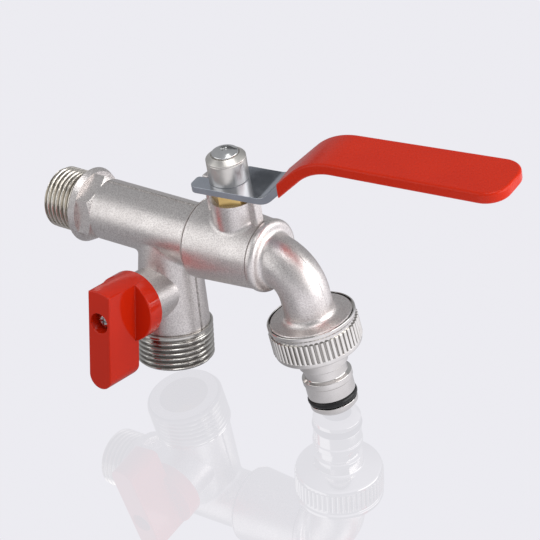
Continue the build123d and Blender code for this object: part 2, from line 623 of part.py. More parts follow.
def lever_grip(plate):
    """The dipped vinyl sleeve on the lever's rising part and grip."""
    head_half = LEVER_HEAD_WIDTH / 2 + GRIP_SKIN
    plan = lever_plan(-LEVER_TAIL, head_half, GRIP_WIDTH / 2, LEVER_TIP, GRIP_TIP_ROUND)
    side = lever_side(-LEVER_TAIL, LEVER_TIP, GRIP_SKIN, LEVER_THICK + GRIP_SKIN)
    sleeve = lever_body(plan, side)
    bare = Pos(-LEVER_TIP, 0, 0) * Box(2 * LEVER_TIP, 4 * GRIP_WIDTH, 4 * CAP_TOP)
    sleeve = sleeve - Pos(SLEEVE_START, 0, 0) * Rot(0, 0, SLEEVE_SLANT) * bare
    rims = [f.edges() for f in sleeve.faces().filter_by(lambda f: abs(f.normal_at().Z) > 0.5)]
    walls = sleeve.faces().filter_by(lambda f: abs(f.normal_at().Z) < 0.1)
    walls = walls.filter_by(lambda f: f.normal_at().X > -0.5)
    wall_edges = [e for f in walls for e in f.edges()]
    outline = [e for rim in rims for e in rim if e in wall_edges]
    return fillet(outline, GRIP_EDGE) - plate


def lever_cap():
    """The turned cap that clamps the lever, along local Z."""
    top_r = LEVER_CAP_R - LEVER_CAP_BEVEL
    pocket_r = STEM_SQUARE / sqrt(2) + GAP
    return turned(
        (pocket_r, LEVER_TOP),
        (LEVER_CAP_R, LEVER_TOP),
        (LEVER_CAP_R, CAP_TOP - LEVER_CAP_BEVEL),
        (top_r, CAP_TOP),
        (LEVER_SCREW_R + LOOSE_FIT, CAP_TOP),
        (LEVER_SCREW_R + LOOSE_FIT, LEVER_TOP + CAP_POCKET),
        (pocket_r, LEVER_TOP + CAP_POCKET),
    )


def lever_screw():
    """The domed screw through the cap into the stem, along local Z."""
    rim = LEVER_SCREW_DOME / 4
    dome_high = LEVER_SCREW_DOME - rim
    dome_r = (LEVER_SCREW_HEAD_R**2 + dome_high**2) / (2 * dome_high)
    head = rod(LEVER_SCREW_HEAD_R, CAP_TOP, CAP_TOP + LEVER_SCREW_DOME)
    head = head & Pos(0, 0, CAP_TOP + LEVER_SCREW_DOME - dome_r) * Sphere(dome_r)
    tip = LEVER_TOP + CAP_POCKET - GAP - LEVER_SCREW_BITE
    return head + rod(LEVER_SCREW_R, tip, CAP_TOP)


def lever_pieces():
    """The lever and what clamps it to the stem."""
    plate = lever_plate()
    return {
        "lever_plate": LEVER * plate,
        "lever_grip": LEVER * lever_grip(plate),
        "lever_cap": LEVER * lever_cap(),
        "lever_screw": LEVER * lever_screw(),
    }


def hose_adaptor():
    """The turned adaptor along local Z: cup with its knurling band, neck, catch and grooved nose."""
    thread_r = SPOUT_THREAD_R + LOOSE_FIT
    mouth_r = FLANGE_R + GAP
    catch_end = ADAPTOR_CATCH + ADAPTOR_CATCH_LENGTH
    catch_rise = ADAPTOR_CATCH_R - ADAPTOR_WAIST_R
    groove_half = ADAPTOR_RING_SECTION_R + RUN_FIT
    groove_r = ADAPTOR_RING_OUT_R - 2 * ADAPTOR_RING_SECTION_R - RUN_FIT
    tip_start = ADAPTOR_END - (ADAPTOR_NOSE_R - ADAPTOR_TIP_R)
    return turned(
        (mouth_r, -ADAPTOR_LIP),
        (ADAPTOR_RIM_R, -ADAPTOR_LIP),
        (ADAPTOR_RIM_R, KNURL_START),
        (KNURL_R, KNURL_START),
        (KNURL_R, KNURL_END),
        (ADAPTOR_BAND_R, KNURL_END),
        (ADAPTOR_BAND_R, BAND_END),
        (ADAPTOR_NECK_R, BAND_END + CONE_DEEP),
        (ADAPTOR_NECK_R, ADAPTOR_NECK_END),
        (ADAPTOR_WAIST_R, ADAPTOR_NECK_END + GAP),
        (ADAPTOR_WAIST_R, ADAPTOR_CATCH),
        (ADAPTOR_CATCH_R, ADAPTOR_CATCH + catch_rise / 2),
        (ADAPTOR_CATCH_R, catch_end),
        (ADAPTOR_NOSE_R, catch_end + GAP),
        (ADAPTOR_NOSE_R, ADAPTOR_RING_AT - groove_half),
        (groove_r, ADAPTOR_RING_AT - groove_half),
        (groove_r, ADAPTOR_RING_AT + groove_half),
        (ADAPTOR_NOSE_R, ADAPTOR_RING_AT + groove_half),
        (ADAPTOR_NOSE_R, tip_start),
        (ADAPTOR_TIP_R, ADAPTOR_END),
        (ADAPTOR_BORE_R, ADAPTOR_END),
        (ADAPTOR_BORE_R, ADAPTOR_FLOOR),
        (thread_r, ADAPTOR_FLOOR),
        (thread_r, ADAPTOR_MOUTH),
        (mouth_r, ADAPTOR_MOUTH),
        rounds=[((ADAPTOR_BAND_R, BAND_END), ADAPTOR_BAND_ROUND)],
    )


def adaptor_pieces():
    """The hose adaptor on the spout, with its washer and ring."""
    washer_r = SPOUT_THREAD_R - LOOSE_FIT
    washer = ring(ADAPTOR_WASHER_BORE_R, washer_r, SPOUT_THREAD_LENGTH, ADAPTOR_FLOOR)
    ring_middle_r = ADAPTOR_RING_OUT_R - ADAPTOR_RING_SECTION_R
    return {
        "hose_adaptor": SPOUT * hose_adaptor(),
        "adaptor_washer": SPOUT * washer,
        "adaptor_o_ring": SPOUT * o_ring(ring_middle_r, ADAPTOR_RING_SECTION_R, ADAPTOR_RING_AT),
    }


os.makedirs("parts", exist_ok=True)
pieces = {"rear_body": rear_body(), "front_body": front_body()}
pieces.update(valve_pieces())
pieces.update(lever_pieces())
pieces.update(branch_pieces())
pieces.update(adaptor_pieces())
for name, solid in pieces.items():
    export_step(solid, f"parts/{name}.step")
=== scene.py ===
"""Dresses a double outlet garden tap over the fixed frame of its solids.

Each sub-assembly is a class that holds its sizes in millimetres, builds its meshes in the tap's own frame and
gives them their finishes. Threads, knurls and casting lines are made by Geometry Nodes.
"""

import json
import logging
import math
from collections.abc import Callable, Sequence
from dataclasses import dataclass
from enum import Enum
from functools import cached_property

import bmesh
import bpy
from bmesh.types import BMesh, BMVert
from bpy.types import Collection, ID, Material, Mesh, Node, NodeSocket, NodeTree, Object
from mathutils import Matrix, Vector


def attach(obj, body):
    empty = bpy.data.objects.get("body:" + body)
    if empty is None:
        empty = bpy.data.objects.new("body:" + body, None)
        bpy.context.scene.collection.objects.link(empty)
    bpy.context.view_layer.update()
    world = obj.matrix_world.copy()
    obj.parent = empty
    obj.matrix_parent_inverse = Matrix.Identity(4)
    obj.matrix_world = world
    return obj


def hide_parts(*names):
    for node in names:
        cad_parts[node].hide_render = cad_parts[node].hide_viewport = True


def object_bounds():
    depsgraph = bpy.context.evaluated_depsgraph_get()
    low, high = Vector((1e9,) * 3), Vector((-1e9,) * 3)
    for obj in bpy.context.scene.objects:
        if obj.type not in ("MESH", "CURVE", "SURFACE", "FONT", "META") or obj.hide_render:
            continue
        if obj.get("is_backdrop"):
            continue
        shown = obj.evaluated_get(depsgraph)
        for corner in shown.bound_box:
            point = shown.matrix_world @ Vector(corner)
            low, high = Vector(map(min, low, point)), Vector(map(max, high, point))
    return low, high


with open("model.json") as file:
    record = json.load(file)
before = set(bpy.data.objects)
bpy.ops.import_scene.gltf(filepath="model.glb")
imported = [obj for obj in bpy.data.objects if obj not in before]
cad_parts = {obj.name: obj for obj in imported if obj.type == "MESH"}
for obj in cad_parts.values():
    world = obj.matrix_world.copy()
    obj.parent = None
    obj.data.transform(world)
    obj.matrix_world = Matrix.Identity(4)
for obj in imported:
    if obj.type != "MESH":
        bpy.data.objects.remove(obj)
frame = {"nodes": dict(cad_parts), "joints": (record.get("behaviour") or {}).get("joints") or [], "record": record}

MM = 0.001
LOG = logging.getLogger("garden_tap")
RING_STEPS = 128            # points round a turned piece
SCREW_STEPS = 64            # points round a screw
BEND_STEPS = 24             # points round a small ring or along a bend
ON_AXIS = 1e-6              # radius, in millimetres, below which a turned point lies on the axis
SAME_SPOT = 1e-7            # metres within which points of a made mesh are one
SOLID_WELD = 2e-6           # metres within which points of a solid's copy are one
FLAT_DEG = 0.2              # faces that turn by less than this are one flat face
BEVEL_DEG = 40.0            # edges that turn by more than this are bevelled
SHARP_DEG = 34.0            # edges that turn by more than this are drawn sharp
SAME_FACING = 0.85          # cosine above which a face still follows the solid's surface
WAVE_BAND = 0.314           # a wave texture's scale for one band in each unit of length
X, Y, Z = Vector((1, 0, 0)), Vector((0, 1, 0)), Vector((0, 0, 1))

Colour = tuple[float, float, float]
Place = tuple[float, float, float]
Point = tuple[float, float]


class Body(Enum):
    """The bodies of the tap that pieces ride on."""

    TAP = "body"
    LEVER = "lever"
    HANDLE = "handle"


class Slot(Enum):
    """The record's material slots."""

    CAST = "cast_nickel"
    TURNED = "turned_nickel"
    BRASS = "bare_brass"
    BALL = "ball_plate"
    SHEET = "lever_steel"
    SCREW = "screw_steel"
    VINYL = "red_vinyl"
    PLASTIC = "red_plastic"
    SEAT = "seat_white"
    RUBBER = "seal_rubber"


@dataclass(frozen=True)
class Corner:
    """A corner of a turned outline, in millimetres.

    Args:
        r: Distance from the axis.
        h: Height along the axis.
        rounding: Radius that the corner is rounded by.
    """

    r: float
    h: float
    rounding: float = 0.0


@dataclass(frozen=True)
class AxisFrame:
    """A straight axis of the tap: where it starts, where it points and its sideways direction."""

    origin: Vector
    along: Vector
    across: Vector

    def matrix(self) -> Matrix:
        """The frame as a matrix.

        Returns:
            A matrix whose local Z runs along the axis.
        """
        side = self.along.cross(self.across)
        turn = Matrix((self.across, side, self.along)).transposed()
        return Matrix.Translation(self.origin) @ turn.to_4x4()

    def moved(self, h: float) -> "AxisFrame":
        """The frame moved along its axis by h millimetres."""
        return AxisFrame(self.origin + self.along * h * MM, self.along, self.across)

    def point(self, r: float, angle: float, h: float) -> Vector:
        """A point at a radius, angle and height about the axis, sizes in millimetres."""
        return self.matrix() @ (Vector((r * math.cos(angle), r * math.sin(angle), h)) * MM)


def mount(name: str) -> dict:
    """The record's mount of that name."""
    return next(m for m in frame["record"]["mounts"] if m["name"] == name)


def joint(name: str) -> dict:
    """The joint of that name."""
    return next(j for j in frame["joints"] if j["name"] == name)


def tap_frames() -> dict[str, AxisFrame]:
    """Works out the tap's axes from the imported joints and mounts.

    Returns:
        The frames of the tube, the stem, the branch, the branch handle and the spout.
    """
    catch_below_flange = 23.2 * MM
    stem, handle, nipple = joint("lever_turn"), joint("handle_turn"), mount("hose_nipple")
    lever_turn = math.radians(-stem["range_deg"][0])
    lever_way = Vector((math.cos(lever_turn), math.sin(lever_turn), 0))
    out = -Vector(handle["axis"]).normalized()
    handle_turn = Matrix.Rotation(math.radians(handle["range_deg"][0]), 3, out)
    branch_top = Vector((handle["pos_m"][0], 0, 0))
    branch_way = Vector(mount("branch_thread")["axis"]).normalized()
    spout_way = Vector(nipple["axis"]).normalized()
    flange = Vector(nipple["pos_m"]) - spout_way * catch_below_flange
    return {
        "tube": AxisFrame(Vector((0, 0, 0)), X, Y),
        "stem": AxisFrame(Vector(stem["pos_m"]), Z, lever_way),
        "branch": AxisFrame(branch_top, branch_way, X),
        "handle": AxisFrame(Vector(handle["pos_m"]), out, handle_turn @ X),
        "spout": AxisFrame(flange, spout_way, -Y.cross(spout_way)),
    }


FRAMES = tap_frames()


class Nodes:
    """A node tree with short calls to add and join nodes."""

    def __init__(self, tree: NodeTree) -> None:
        """Takes a tree and empties it."""
        self.tree = tree
        tree.nodes.clear()

    def add(self, kind: str, inputs: dict | None = None, **settings: object) -> Node:
        """Adds a node.

        Args:
            kind: Blender's name of the node.
            inputs: Socket names or numbers, with what feed() takes for each.
            settings: Attributes of the node.

        Returns:
            The node.
        """
        node = self.tree.nodes.new(kind)
        for key, value in settings.items():
            setattr(node, key, value)
        for key, value in (inputs or {}).items():
            self.feed(node.inputs[key], value)
        return node

    def feed(self, socket: NodeSocket, value: object) -> None:
        """Links or sets a socket.

        Args:
            socket: The socket to feed.
            value: A field, a socket, a node whose first output is taken, or a plain value.
        """
        source = value.socket if isinstance(value, Number) else value
        if isinstance(source, Node):
            source = source.outputs[0]
        if isinstance(source, NodeSocket):
            self.tree.links.new(source, socket)
        else:
            socket.default_value = source


class Graph(Nodes):
    """A material's node tree, with short calls for the fields that finishes are made of."""

    def __init__(self, name: str) -> None:
        """Starts an empty material.

        Args:
            name: The material's name.
        """
        self.material = bpy.data.materials.new(name)
        self.material.use_nodes = True
        super().__init__(self.material.node_tree)

    @cached_property
    def coords(self) -> NodeSocket:
        """Object coordinates."""
        return self.add("ShaderNodeTexCoord").outputs["Object"]

    def finish(self, shader: Node) -> Material:
        """Sends a shader out and gives the material."""
        self.add("ShaderNodeOutputMaterial", {"Surface": shader})
        return self.material

    def principled(self, **values: object) -> Material:
        """Ends in a principled shader, whose sockets are named with underscores for spaces."""
        inputs = {key.replace("_", " "): value for key, value in values.items()}
        return self.finish(self.add("ShaderNodeBsdfPrincipled", inputs))

    def noise(self, grain_mm: float, detail: float = 3.0, vector: object = None) -> NodeSocket:
        """A noise whose features are about grain_mm across."""
        inputs = {"Vector": vector or self.coords, "Scale": 1 / (grain_mm * MM), "Detail": detail}
        return self.add("ShaderNodeTexNoise", inputs).outputs["Fac"]

    def span(self, value: object, low: float, high: float, at: Point = (0.3, 0.7)) -> NodeSocket:
        """Maps a field from the range at to the range low to high."""
        inputs = {"Value": value, 1: at[0], 2: at[1], 3: low, 4: high}
        return self.add("ShaderNodeMapRange", inputs).outputs[0]

    def blend(self, share: object, first: object, second: object) -> NodeSocket:
        """A colour between two colours or sockets, by a field."""
        ends = [(*end, 1) if isinstance(end, tuple) else end for end in (first, second)]
        return self.add("ShaderNodeMix", {0: share, 6: ends[0], 7: ends[1]}, data_type="RGBA").outputs[2]

    def bump(self, height: object, relief: Point, under: object = None) -> NodeSocket:
        """Bumps the surface by a height field.

        Args:
            height: The field.
            relief: Its depth in millimetres, and its strength.
            under: A bumped normal that it adds to.

        Returns:
            The bumped normal.
        """
        inputs = {"Height": height, "Distance": relief[0] * MM, "Strength": relief[1]}
        if under is not None:
            inputs["Normal"] = under
        return self.add("ShaderNodeBump", inputs).outputs["Normal"]

    def along(self, axis: AxisFrame) -> NodeSocket:
        """Object coordinates turned into an axis frame.

        Args:
            axis: The frame.

        Returns:
            Coordinates whose Z runs along the axis.
        """
        inverse = axis.matrix().inverted()
        place = {"Location": inverse.to_translation(), "Rotation": inverse.to_euler("XYZ")}
        return self.add("ShaderNodeMapping", {"Vector": self.coords, **place}).outputs[0]


@dataclass(frozen=True)
class Finish:
    """What every finish has.

    Args:
        name: The material's name.
        light: Colour of the cleaner or brighter clouds.
        dark: Colour of the duller clouds.
        rough: Lowest and highest roughness.
    """

    name: str
    light: Colour
    dark: Colour
    rough: Point


@dataclass(frozen=True)
class CastFinish(Finish):
    """Blasted and plated casting: a fine grain, with soft clouds of tone and gloss.

    Args:
        grain_mm: Size of the blasted grain.
        grain_relief: Depth and strength of the grain.
        speck_at: Levels of the grain that are dark and light.
        cloud_mm: Size of the clouds.
        cloud_share: How far the clouds darken the grain.
        pit_grains: Size of a pit, in grains.
        pit_relief: Depth and strength of the pits.
        swell_mm: Size of the soft swells.
        swell_relief: Depth and strength of the swells.
    """

    grain_mm: float
    grain_relief: Point = (0.07, 0.60)
    speck_at: Point = (0.36, 0.62)
    cloud_mm: float = 9.0
    cloud_share: float = 0.25
    pit_grains: float = 1.6
    pit_relief: Point = (0.05, 0.35)
    swell_mm: float = 2.4
    swell_relief: Point = (0.10, 0.25)

    def material(self) -> Material:
        """Builds the finish's nodes.

        Returns:
            The material.
        """
        g = Graph(self.name)
        clouds, grain = g.noise(self.cloud_mm, 4.0), g.noise(self.grain_mm)
        pit_scale = 1 / (self.pit_grains * self.grain_mm * MM)
        pits = g.add("ShaderNodeTexVoronoi", {"Vector": g.coords, "Scale": pit_scale})
        speck = g.blend(g.span(grain, 0, 1, self.speck_at), self.dark, self.light)
        tone = g.blend(g.span(clouds, 0.0, self.cloud_share), speck, self.dark)
        swells = g.bump(g.noise(self.swell_mm, 2.0), self.swell_relief)
        pitted = g.bump(pits.outputs["Distance"], self.pit_relief, swells)
        normal = g.bump(grain, self.grain_relief, pitted)
        rough = g.span(clouds, *self.rough)
        return g.principled(Base_Color=tone, Metallic=1.0, Roughness=rough, Normal=normal)


@dataclass(frozen=True)
class TurnedFinish(Finish):
    """Plated or bare metal turned on a lathe: fine tool rings about an axis, and faint handling marks.

    Args:
        axis: Name of the frame that the rings lie about.
        roots: Radii, in millimetres, below which a thread or knurl is darkened by painted shade in its roots,
            fading to its plain tone at the upper radius.
        root_shade: Brightness of the painted shade in the roots, against the dark colour.
        cloud_mm: Size of the handling marks.
        ring_mm: Distance between tool rings.
        ring_relief: Depth and strength of the tool rings.
    """

    axis: str
    roots: Point | None = None
    root_shade: float = 0.4
    cloud_mm: float = 6.0
    ring_mm: float = 0.5
    ring_relief: Point = (0.01, 0.03)

    def material(self) -> Material:
        """Builds the finish's nodes.

        Returns:
            The material.
        """
        g = Graph(self.name)
        local = g.along(FRAMES[self.axis])
        clouds = g.noise(self.cloud_mm, 4.0)
        waver = {"Distortion": 0.2, "Detail": 1.0, "Detail Scale": 0.6}
        bands = {"Vector": local, "Scale": WAVE_BAND / (self.ring_mm * MM), **waver}
        rings = g.add("ShaderNodeTexWave", bands, bands_direction="Z")
        tone = g.blend(g.span(clouds, 0, 1), self.dark, self.light)
        # Painted shade: the colour darkens towards the axis between the roots' radii, standing in for shade in the
        # grooves of a thread or knurl.
        if self.roots:
            flat = g.add("ShaderNodeVectorMath", {0: local, 1: (1, 1, 0)}, operation="MULTIPLY")
            reach = g.add("ShaderNodeVectorMath", {0: flat}, operation="LENGTH")
            share = g.span(reach.outputs["Value"], 0.0, 1.0, (self.roots[0] * MM, self.roots[1] * MM))
            tone = g.blend(share, tuple(self.root_shade * c for c in self.dark), tone)
        rough = g.span(clouds, *self.rough)
        normal = g.bump(rings.outputs["Fac"], self.ring_relief)
        return g.principled(Base_Color=tone, Metallic=1.0, Roughness=rough, Normal=normal)


@dataclass(frozen=True)
class SheetFinish(Finish):
    """Zinc plated sheet or small steel: smooth and bright, with a faint cloudy passivation.

    Args:
        cloud_mm: Size of the clouds.
        scratch_mm: Width of the fine scratches.
        scratch_stretch: Scale of the scratches along each axis.
        scratch_relief: Depth and strength of the scratches.
    """

    cloud_mm: float = 5.0
    scratch_mm: float = 0.35
    scratch_stretch: Place = (0.15, 1.0, 1.0)
    scratch_relief: Point = (0.01, 0.12)

    def material(self) -> Material:
        """Builds the finish's nodes.

        Returns:
            The material.
        """
        g = Graph(self.name)
        clouds = g.noise(self.cloud_mm, 5.0)
        stretched = g.add("ShaderNodeMapping", {"Vector": g.coords, "Scale": self.scratch_stretch})
        scratches = g.noise(self.scratch_mm, 4.0, stretched.outputs[0])
        tone = g.blend(g.span(clouds, 0, 1), self.dark, self.light)
        rough = g.span(clouds, *self.rough)
        normal = g.bump(scratches, self.scratch_relief)
        return g.principled(Base_Color=tone, Metallic=1.0, Roughness=rough, Normal=normal)


@dataclass(frozen=True)
class PolymerFinish(Finish):
    """Vinyl, plastic or rubber: a fine skin texture, small tone changes and an even gloss.

    Args:
        skin_mm: Size of the skin's texture.
        skin_strength: Strength of the skin's texture.
        shine: Strength of the surface's reflection.
        glow: Share of light that scatters below the surface.
        glow_mm: How far that light scatters.
        skin_deep: Depth of the skin's texture.
        cloud_mm: Size of the tone changes.
        smear_mm: Size of the changes of gloss.
    """

    skin_mm: float
    skin_strength: float
    shine: float
    glow: float = 0.0
    glow_mm: float = 0.6
    skin_deep: float = 0.04
    cloud_mm: float = 14.0
    smear_mm: float = 2.0

    def material(self) -> Material:
        """Builds the finish's nodes.

        Returns:
            The material.
        """
        g = Graph(self.name)
        clouds, skin = g.noise(self.cloud_mm), g.noise(self.skin_mm, 2.0)
        return g.principled(
            Base_Color=g.blend(g.span(clouds, 0, 1), self.dark, self.light),
            Roughness=g.span(g.noise(self.smear_mm, 4.0), *self.rough),
            Specular_IOR_Level=self.shine,
            Subsurface_Weight=self.glow,
            Subsurface_Scale=self.glow_mm * MM,
            Normal=g.bump(skin, (self.skin_deep, self.skin_strength)),
        )


class Finishes:
    """Every material of the tap, made once."""

    def __init__(self) -> None:
        """Builds the materials."""
        nickel, shade = (0.78, 0.755, 0.715), (0.60, 0.575, 0.54)
        self.cast = CastFinish(
            "blasted_nickel", (0.88, 0.84, 0.82), (0.60, 0.56, 0.545), (0.34, 0.46), grain_mm=0.40
        ).material()
        self.flash = CastFinish(
            "casting_flash", (0.66, 0.62, 0.60), (0.30, 0.275, 0.26), (0.40, 0.55), grain_mm=0.7
        ).material()
        # The inlet thread, the branch thread and the knurl get painted shade in their roots through roots.
        self.inlet_thread = TurnedFinish(
            "inlet_thread_nickel", (0.84, 0.80, 0.73), (0.66, 0.61, 0.54), (0.16, 0.24), "tube",
            roots=(9.4, 10.3),
        ).material()
        self.branch_thread = TurnedFinish(
            "branch_thread_nickel", nickel, shade, (0.14, 0.22), "branch", roots=(12.2, 13.1)
        ).material()
        self.adaptor = TurnedFinish(
            "adaptor_nickel", (0.78, 0.755, 0.735), (0.66, 0.635, 0.61), (0.10, 0.16), "spout"
        ).material()
        self.knurl = TurnedFinish(
            "knurl_nickel", (0.86, 0.84, 0.81), (0.74, 0.71, 0.67), (0.18, 0.26), "spout", roots=(14.2, 14.75)
        ).material()
        self.cap = TurnedFinish("cap_nickel", nickel, shade, (0.30, 0.38), "stem").material()
        self.brass = TurnedFinish(
            "gland_brass", (0.83, 0.60, 0.25), (0.60, 0.40, 0.14), (0.22, 0.34), "stem"
        ).material()
        self.sheet = SheetFinish("zinc_plate", (0.58, 0.61, 0.67), (0.50, 0.53, 0.59), (0.12, 0.2)).material()
        self.screw = SheetFinish("screw_plate", (0.82,) * 3, (0.66,) * 3, (0.12, 0.2)).material()
        self.ball = SheetFinish("ball_chrome", (0.86,) * 3, (0.76,) * 3, (0.05, 0.1)).material()
        self.vinyl = PolymerFinish(
            "red_vinyl", (0.61, 0.022, 0.002), (0.57, 0.019, 0.002), (0.24, 0.32),
            skin_mm=0.5, skin_strength=0.08, shine=0.22,
        ).material()
        self.plastic = PolymerFinish(
            "red_plastic", (0.64, 0.021, 0.003), (0.60, 0.019, 0.003), (0.08, 0.13),
            skin_mm=2.4, skin_strength=0.03, shine=0.32,
        ).material()
        self.rubber = PolymerFinish(
            "seal_rubber", (0.022,) * 3, (0.012,) * 3, (0.3, 0.45),
            skin_mm=0.3, skin_strength=0.15, shine=0.3,
        ).material()
        self.seat = PolymerFinish(
            "seat_polymer", (0.86, 0.86, 0.84), (0.78, 0.78, 0.76), (0.35, 0.5),
            skin_mm=0.6, skin_strength=0.1, shine=0.5, glow=0.1,
        ).material()


def rounded(corners: Sequence[Corner], closed: bool, steps: int = 6) -> list[Point]:
    """Rounds the corners of an outline.

    Args:
        corners: The outline's corners in order.
        closed: Whether the last corner joins the first.
        steps: Points on each rounding.

    Returns:
        The outline's points, in millimetres.
    """
    points: list[Point] = []
    count = len(corners)
    for i, corner in enumerate(corners):
        here = Vector((corner.r, corner.h))
        ends = not closed and i in (0, count - 1)
        if ends or corner.rounding <= 0:
            points.append((here.x, here.y))
            continue
        before, after = corners[i - 1], corners[(i + 1) % count]
        back = (Vector((before.r, before.h)) - here).normalized()
        on = (Vector((after.r, after.h)) - here).normalized()
        half = back.angle(on) / 2
        middle = here + (back + on).normalized() * (corner.rounding / math.sin(half))
        start = here + back * (corner.rounding / math.tan(half)) - middle
        end = here + on * (corner.rounding / math.tan(half)) - middle
        for k in range(steps + 1):
            spoke = start.lerp(end, k / steps).normalized() * corner.rounding
            points.append((middle.x + spoke.x, middle.y + spoke.y))
    return points


def turned(corners: Sequence[Corner], closed: bool = True, steps: int = RING_STEPS) -> BMesh:
    """Turns an outline about local Z.

    Args:
        corners: The outline's corners; a closed outline is a ring, an open one ends on the axis.
        closed: Whether the outline is closed.
        steps: Points round the axis.

    Returns:
        The mesh, in metres.
    """
    bm = bmesh.new()
    angles = [2 * math.pi * k / steps for k in range(steps)]
    rings: list[list[BMVert]] = []
    for r, h in rounded(corners, closed):
        if r < ON_AXIS:
            rings.append([bm.verts.new((0, 0, h * MM))])
            continue
        rings.append([bm.verts.new((r * math.cos(a) * MM, r * math.sin(a) * MM, h * MM)) for a in angles])
    for low, high in zip(rings, rings[1:] + (rings[:1] if closed else [])):
        for k in range(steps):
            after = k + 1
            face = [low[k % len(low)], low[after % len(low)], high[after % len(high)], high[k % len(high)]]
            bm.faces.new(list(dict.fromkeys(face)))
    bmesh.ops.remove_doubles(bm, verts=bm.verts, dist=SAME_SPOT)
    bmesh.ops.recalc_face_normals(bm, faces=bm.faces)
    return bm


def linked(name: str, data: ID) -> Object:
    """Puts a mesh, light or camera in the scene.

    Args:
        name: The object's name.
        data: What it holds.

    Returns:
        The object.
    """
    made = bpy.data.objects.new(name, data)
    bpy.context.scene.collection.objects.link(made)
    return made


def add_piece(
    name: str, mesh: Mesh, material: Material, body: Body
) -> None:
    """Puts a finished mesh in the scene as a piece, which replaces the solid of its name if there is one.

    Args:
        name: The piece's name.
        mesh: Its mesh, in place in the tap's frame.
        material: Its finish.
        body: The body that it rides on.
    """
    mesh.name = name
    mesh.materials.clear()
    mesh.materials.append(material)
    for face in mesh.polygons:
        face.use_smooth = True
        face.material_index = 0
    if not mesh.has_custom_normals:
        mesh.set_sharp_from_angle(angle=math.radians(SHARP_DEG))
    piece = linked(name, mesh)
    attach(piece, body.value)
    if name in frame["nodes"]:
        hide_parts(name)
    LOG.info("%s: %d faces on %s", name, len(mesh.polygons), body.value)


def to_mesh(bm: BMesh, axis: AxisFrame | None = None) -> Mesh:
    """Turns a bmesh into a mesh.

    Args:
        bm: The bmesh, which is freed.
        axis: The axis that it is placed on, if any.

    Returns:
        The mesh.
    """
    if axis is not None:
        bm.transform(axis.matrix())
    mesh = bpy.data.meshes.new("mesh")
    bm.to_mesh(mesh)
    bm.free()
    return mesh


def solid_copy(node: str, change: Callable[[BMesh], None] | None = None) -> Mesh:
    """A merged copy of a solid's mesh that keeps the exact surface normals.

    Args:
        node: The solid's name.
        change: Alters the copy before its normals are set.

    Returns:
        The copy, where faces that were turned away from the solid's surface get their own normals.
    """
    source = frame["nodes"][node].data
    bm = bmesh.new()
    bm.from_mesh(source)
    origin = bm.faces.layers.int.new("origin")
    for i, face in enumerate(bm.faces):
        face[origin] = i
    bmesh.ops.remove_doubles(bm, verts=bm.verts, dist=SOLID_WELD)
    if change is not None:
        change(bm)
    mesh = to_mesh(bm)
    normals = [Z] * len(mesh.loops)
    for face, came_from in zip(mesh.polygons, mesh.attributes["origin"].data):
        places = [
            (source.vertices[source.loops[corner].vertex_index].co, source.corner_normals[corner].vector)
            for corner in source.polygons[came_from.value].loop_indices
        ]
        for loop in face.loop_indices:
            here = mesh.vertices[mesh.loops[loop].vertex_index].co
            exact = min(places, key=lambda place: (place[0] - here).length_squared)[1]
            normals[loop] = exact if exact.dot(face.normal) > SAME_FACING else face.normal.copy()
    mesh.attributes.remove(mesh.attributes["origin"])
    for face in mesh.polygons:
        face.use_smooth = True
    mesh.normals_split_custom_set(normals)
    return mesh


def evaluated(mesh: Mesh, add: Callable[[Object], None]) -> Mesh:
    """Runs modifiers on a mesh.

    Args:
        mesh: The mesh to start from.
        add: Adds the modifiers to an object that holds the mesh.

    Returns:
        The resulting mesh.
    """
    holder = linked("holder", mesh)
    add(holder)
    bpy.context.view_layer.update()
    result = bpy.data.meshes.new_from_object(holder.evaluated_get(bpy.context.evaluated_depsgraph_get()))
    bpy.data.objects.remove(holder)
    return result


def modified(mesh: Mesh, kind: str, **settings: object) -> Mesh:
    """Runs one modifier on a mesh.

    Args:
        mesh: The mesh to start from.
        kind: Blender's name of the modifier.
        settings: Attributes of the modifier.

    Returns:
        The resulting mesh.
    """

    def add(holder: Object) -> None:
        """Adds the modifier.

        Args:
            holder: The object that gets it.
        """
        modifier = holder.modifiers.new("step", kind)
        for key, value in settings.items():
            setattr(modifier, key, value)

    return evaluated(mesh, add)


def edged_copy(node: str, width_mm: float, clamp: bool = True) -> Mesh:
    """A copy of a solid with narrow rounds on its sharp edges, whose flat faces look flat up to the rounds.

    Args:
        node: The solid's name.
        width_mm: Width of the rounds.
        clamp: Whether short edges limit the width.

    Returns:
        The copy.
    """
    bm = bmesh.new()
    bm.from_mesh(frame["nodes"][node].data)
    bmesh.ops.remove_doubles(bm, verts=bm.verts, dist=SOLID_WELD)
    bmesh.ops.dissolve_limit(bm, angle_limit=math.radians(FLAT_DEG), verts=bm.verts, edges=bm.edges)
    mesh = modified(
        to_mesh(bm),
        "BEVEL",
        width=width_mm * MM,
        segments=3,
        limit_method="ANGLE",
        angle_limit=math.radians(BEVEL_DEG),
        use_clamp_overlap=clamp,
    )
    for face in mesh.polygons:
        face.use_smooth = True
    mesh.set_sharp_from_angle(angle=math.radians(SHARP_DEG))
    return modified(mesh, "WEIGHTED_NORMAL", keep_sharp=True)


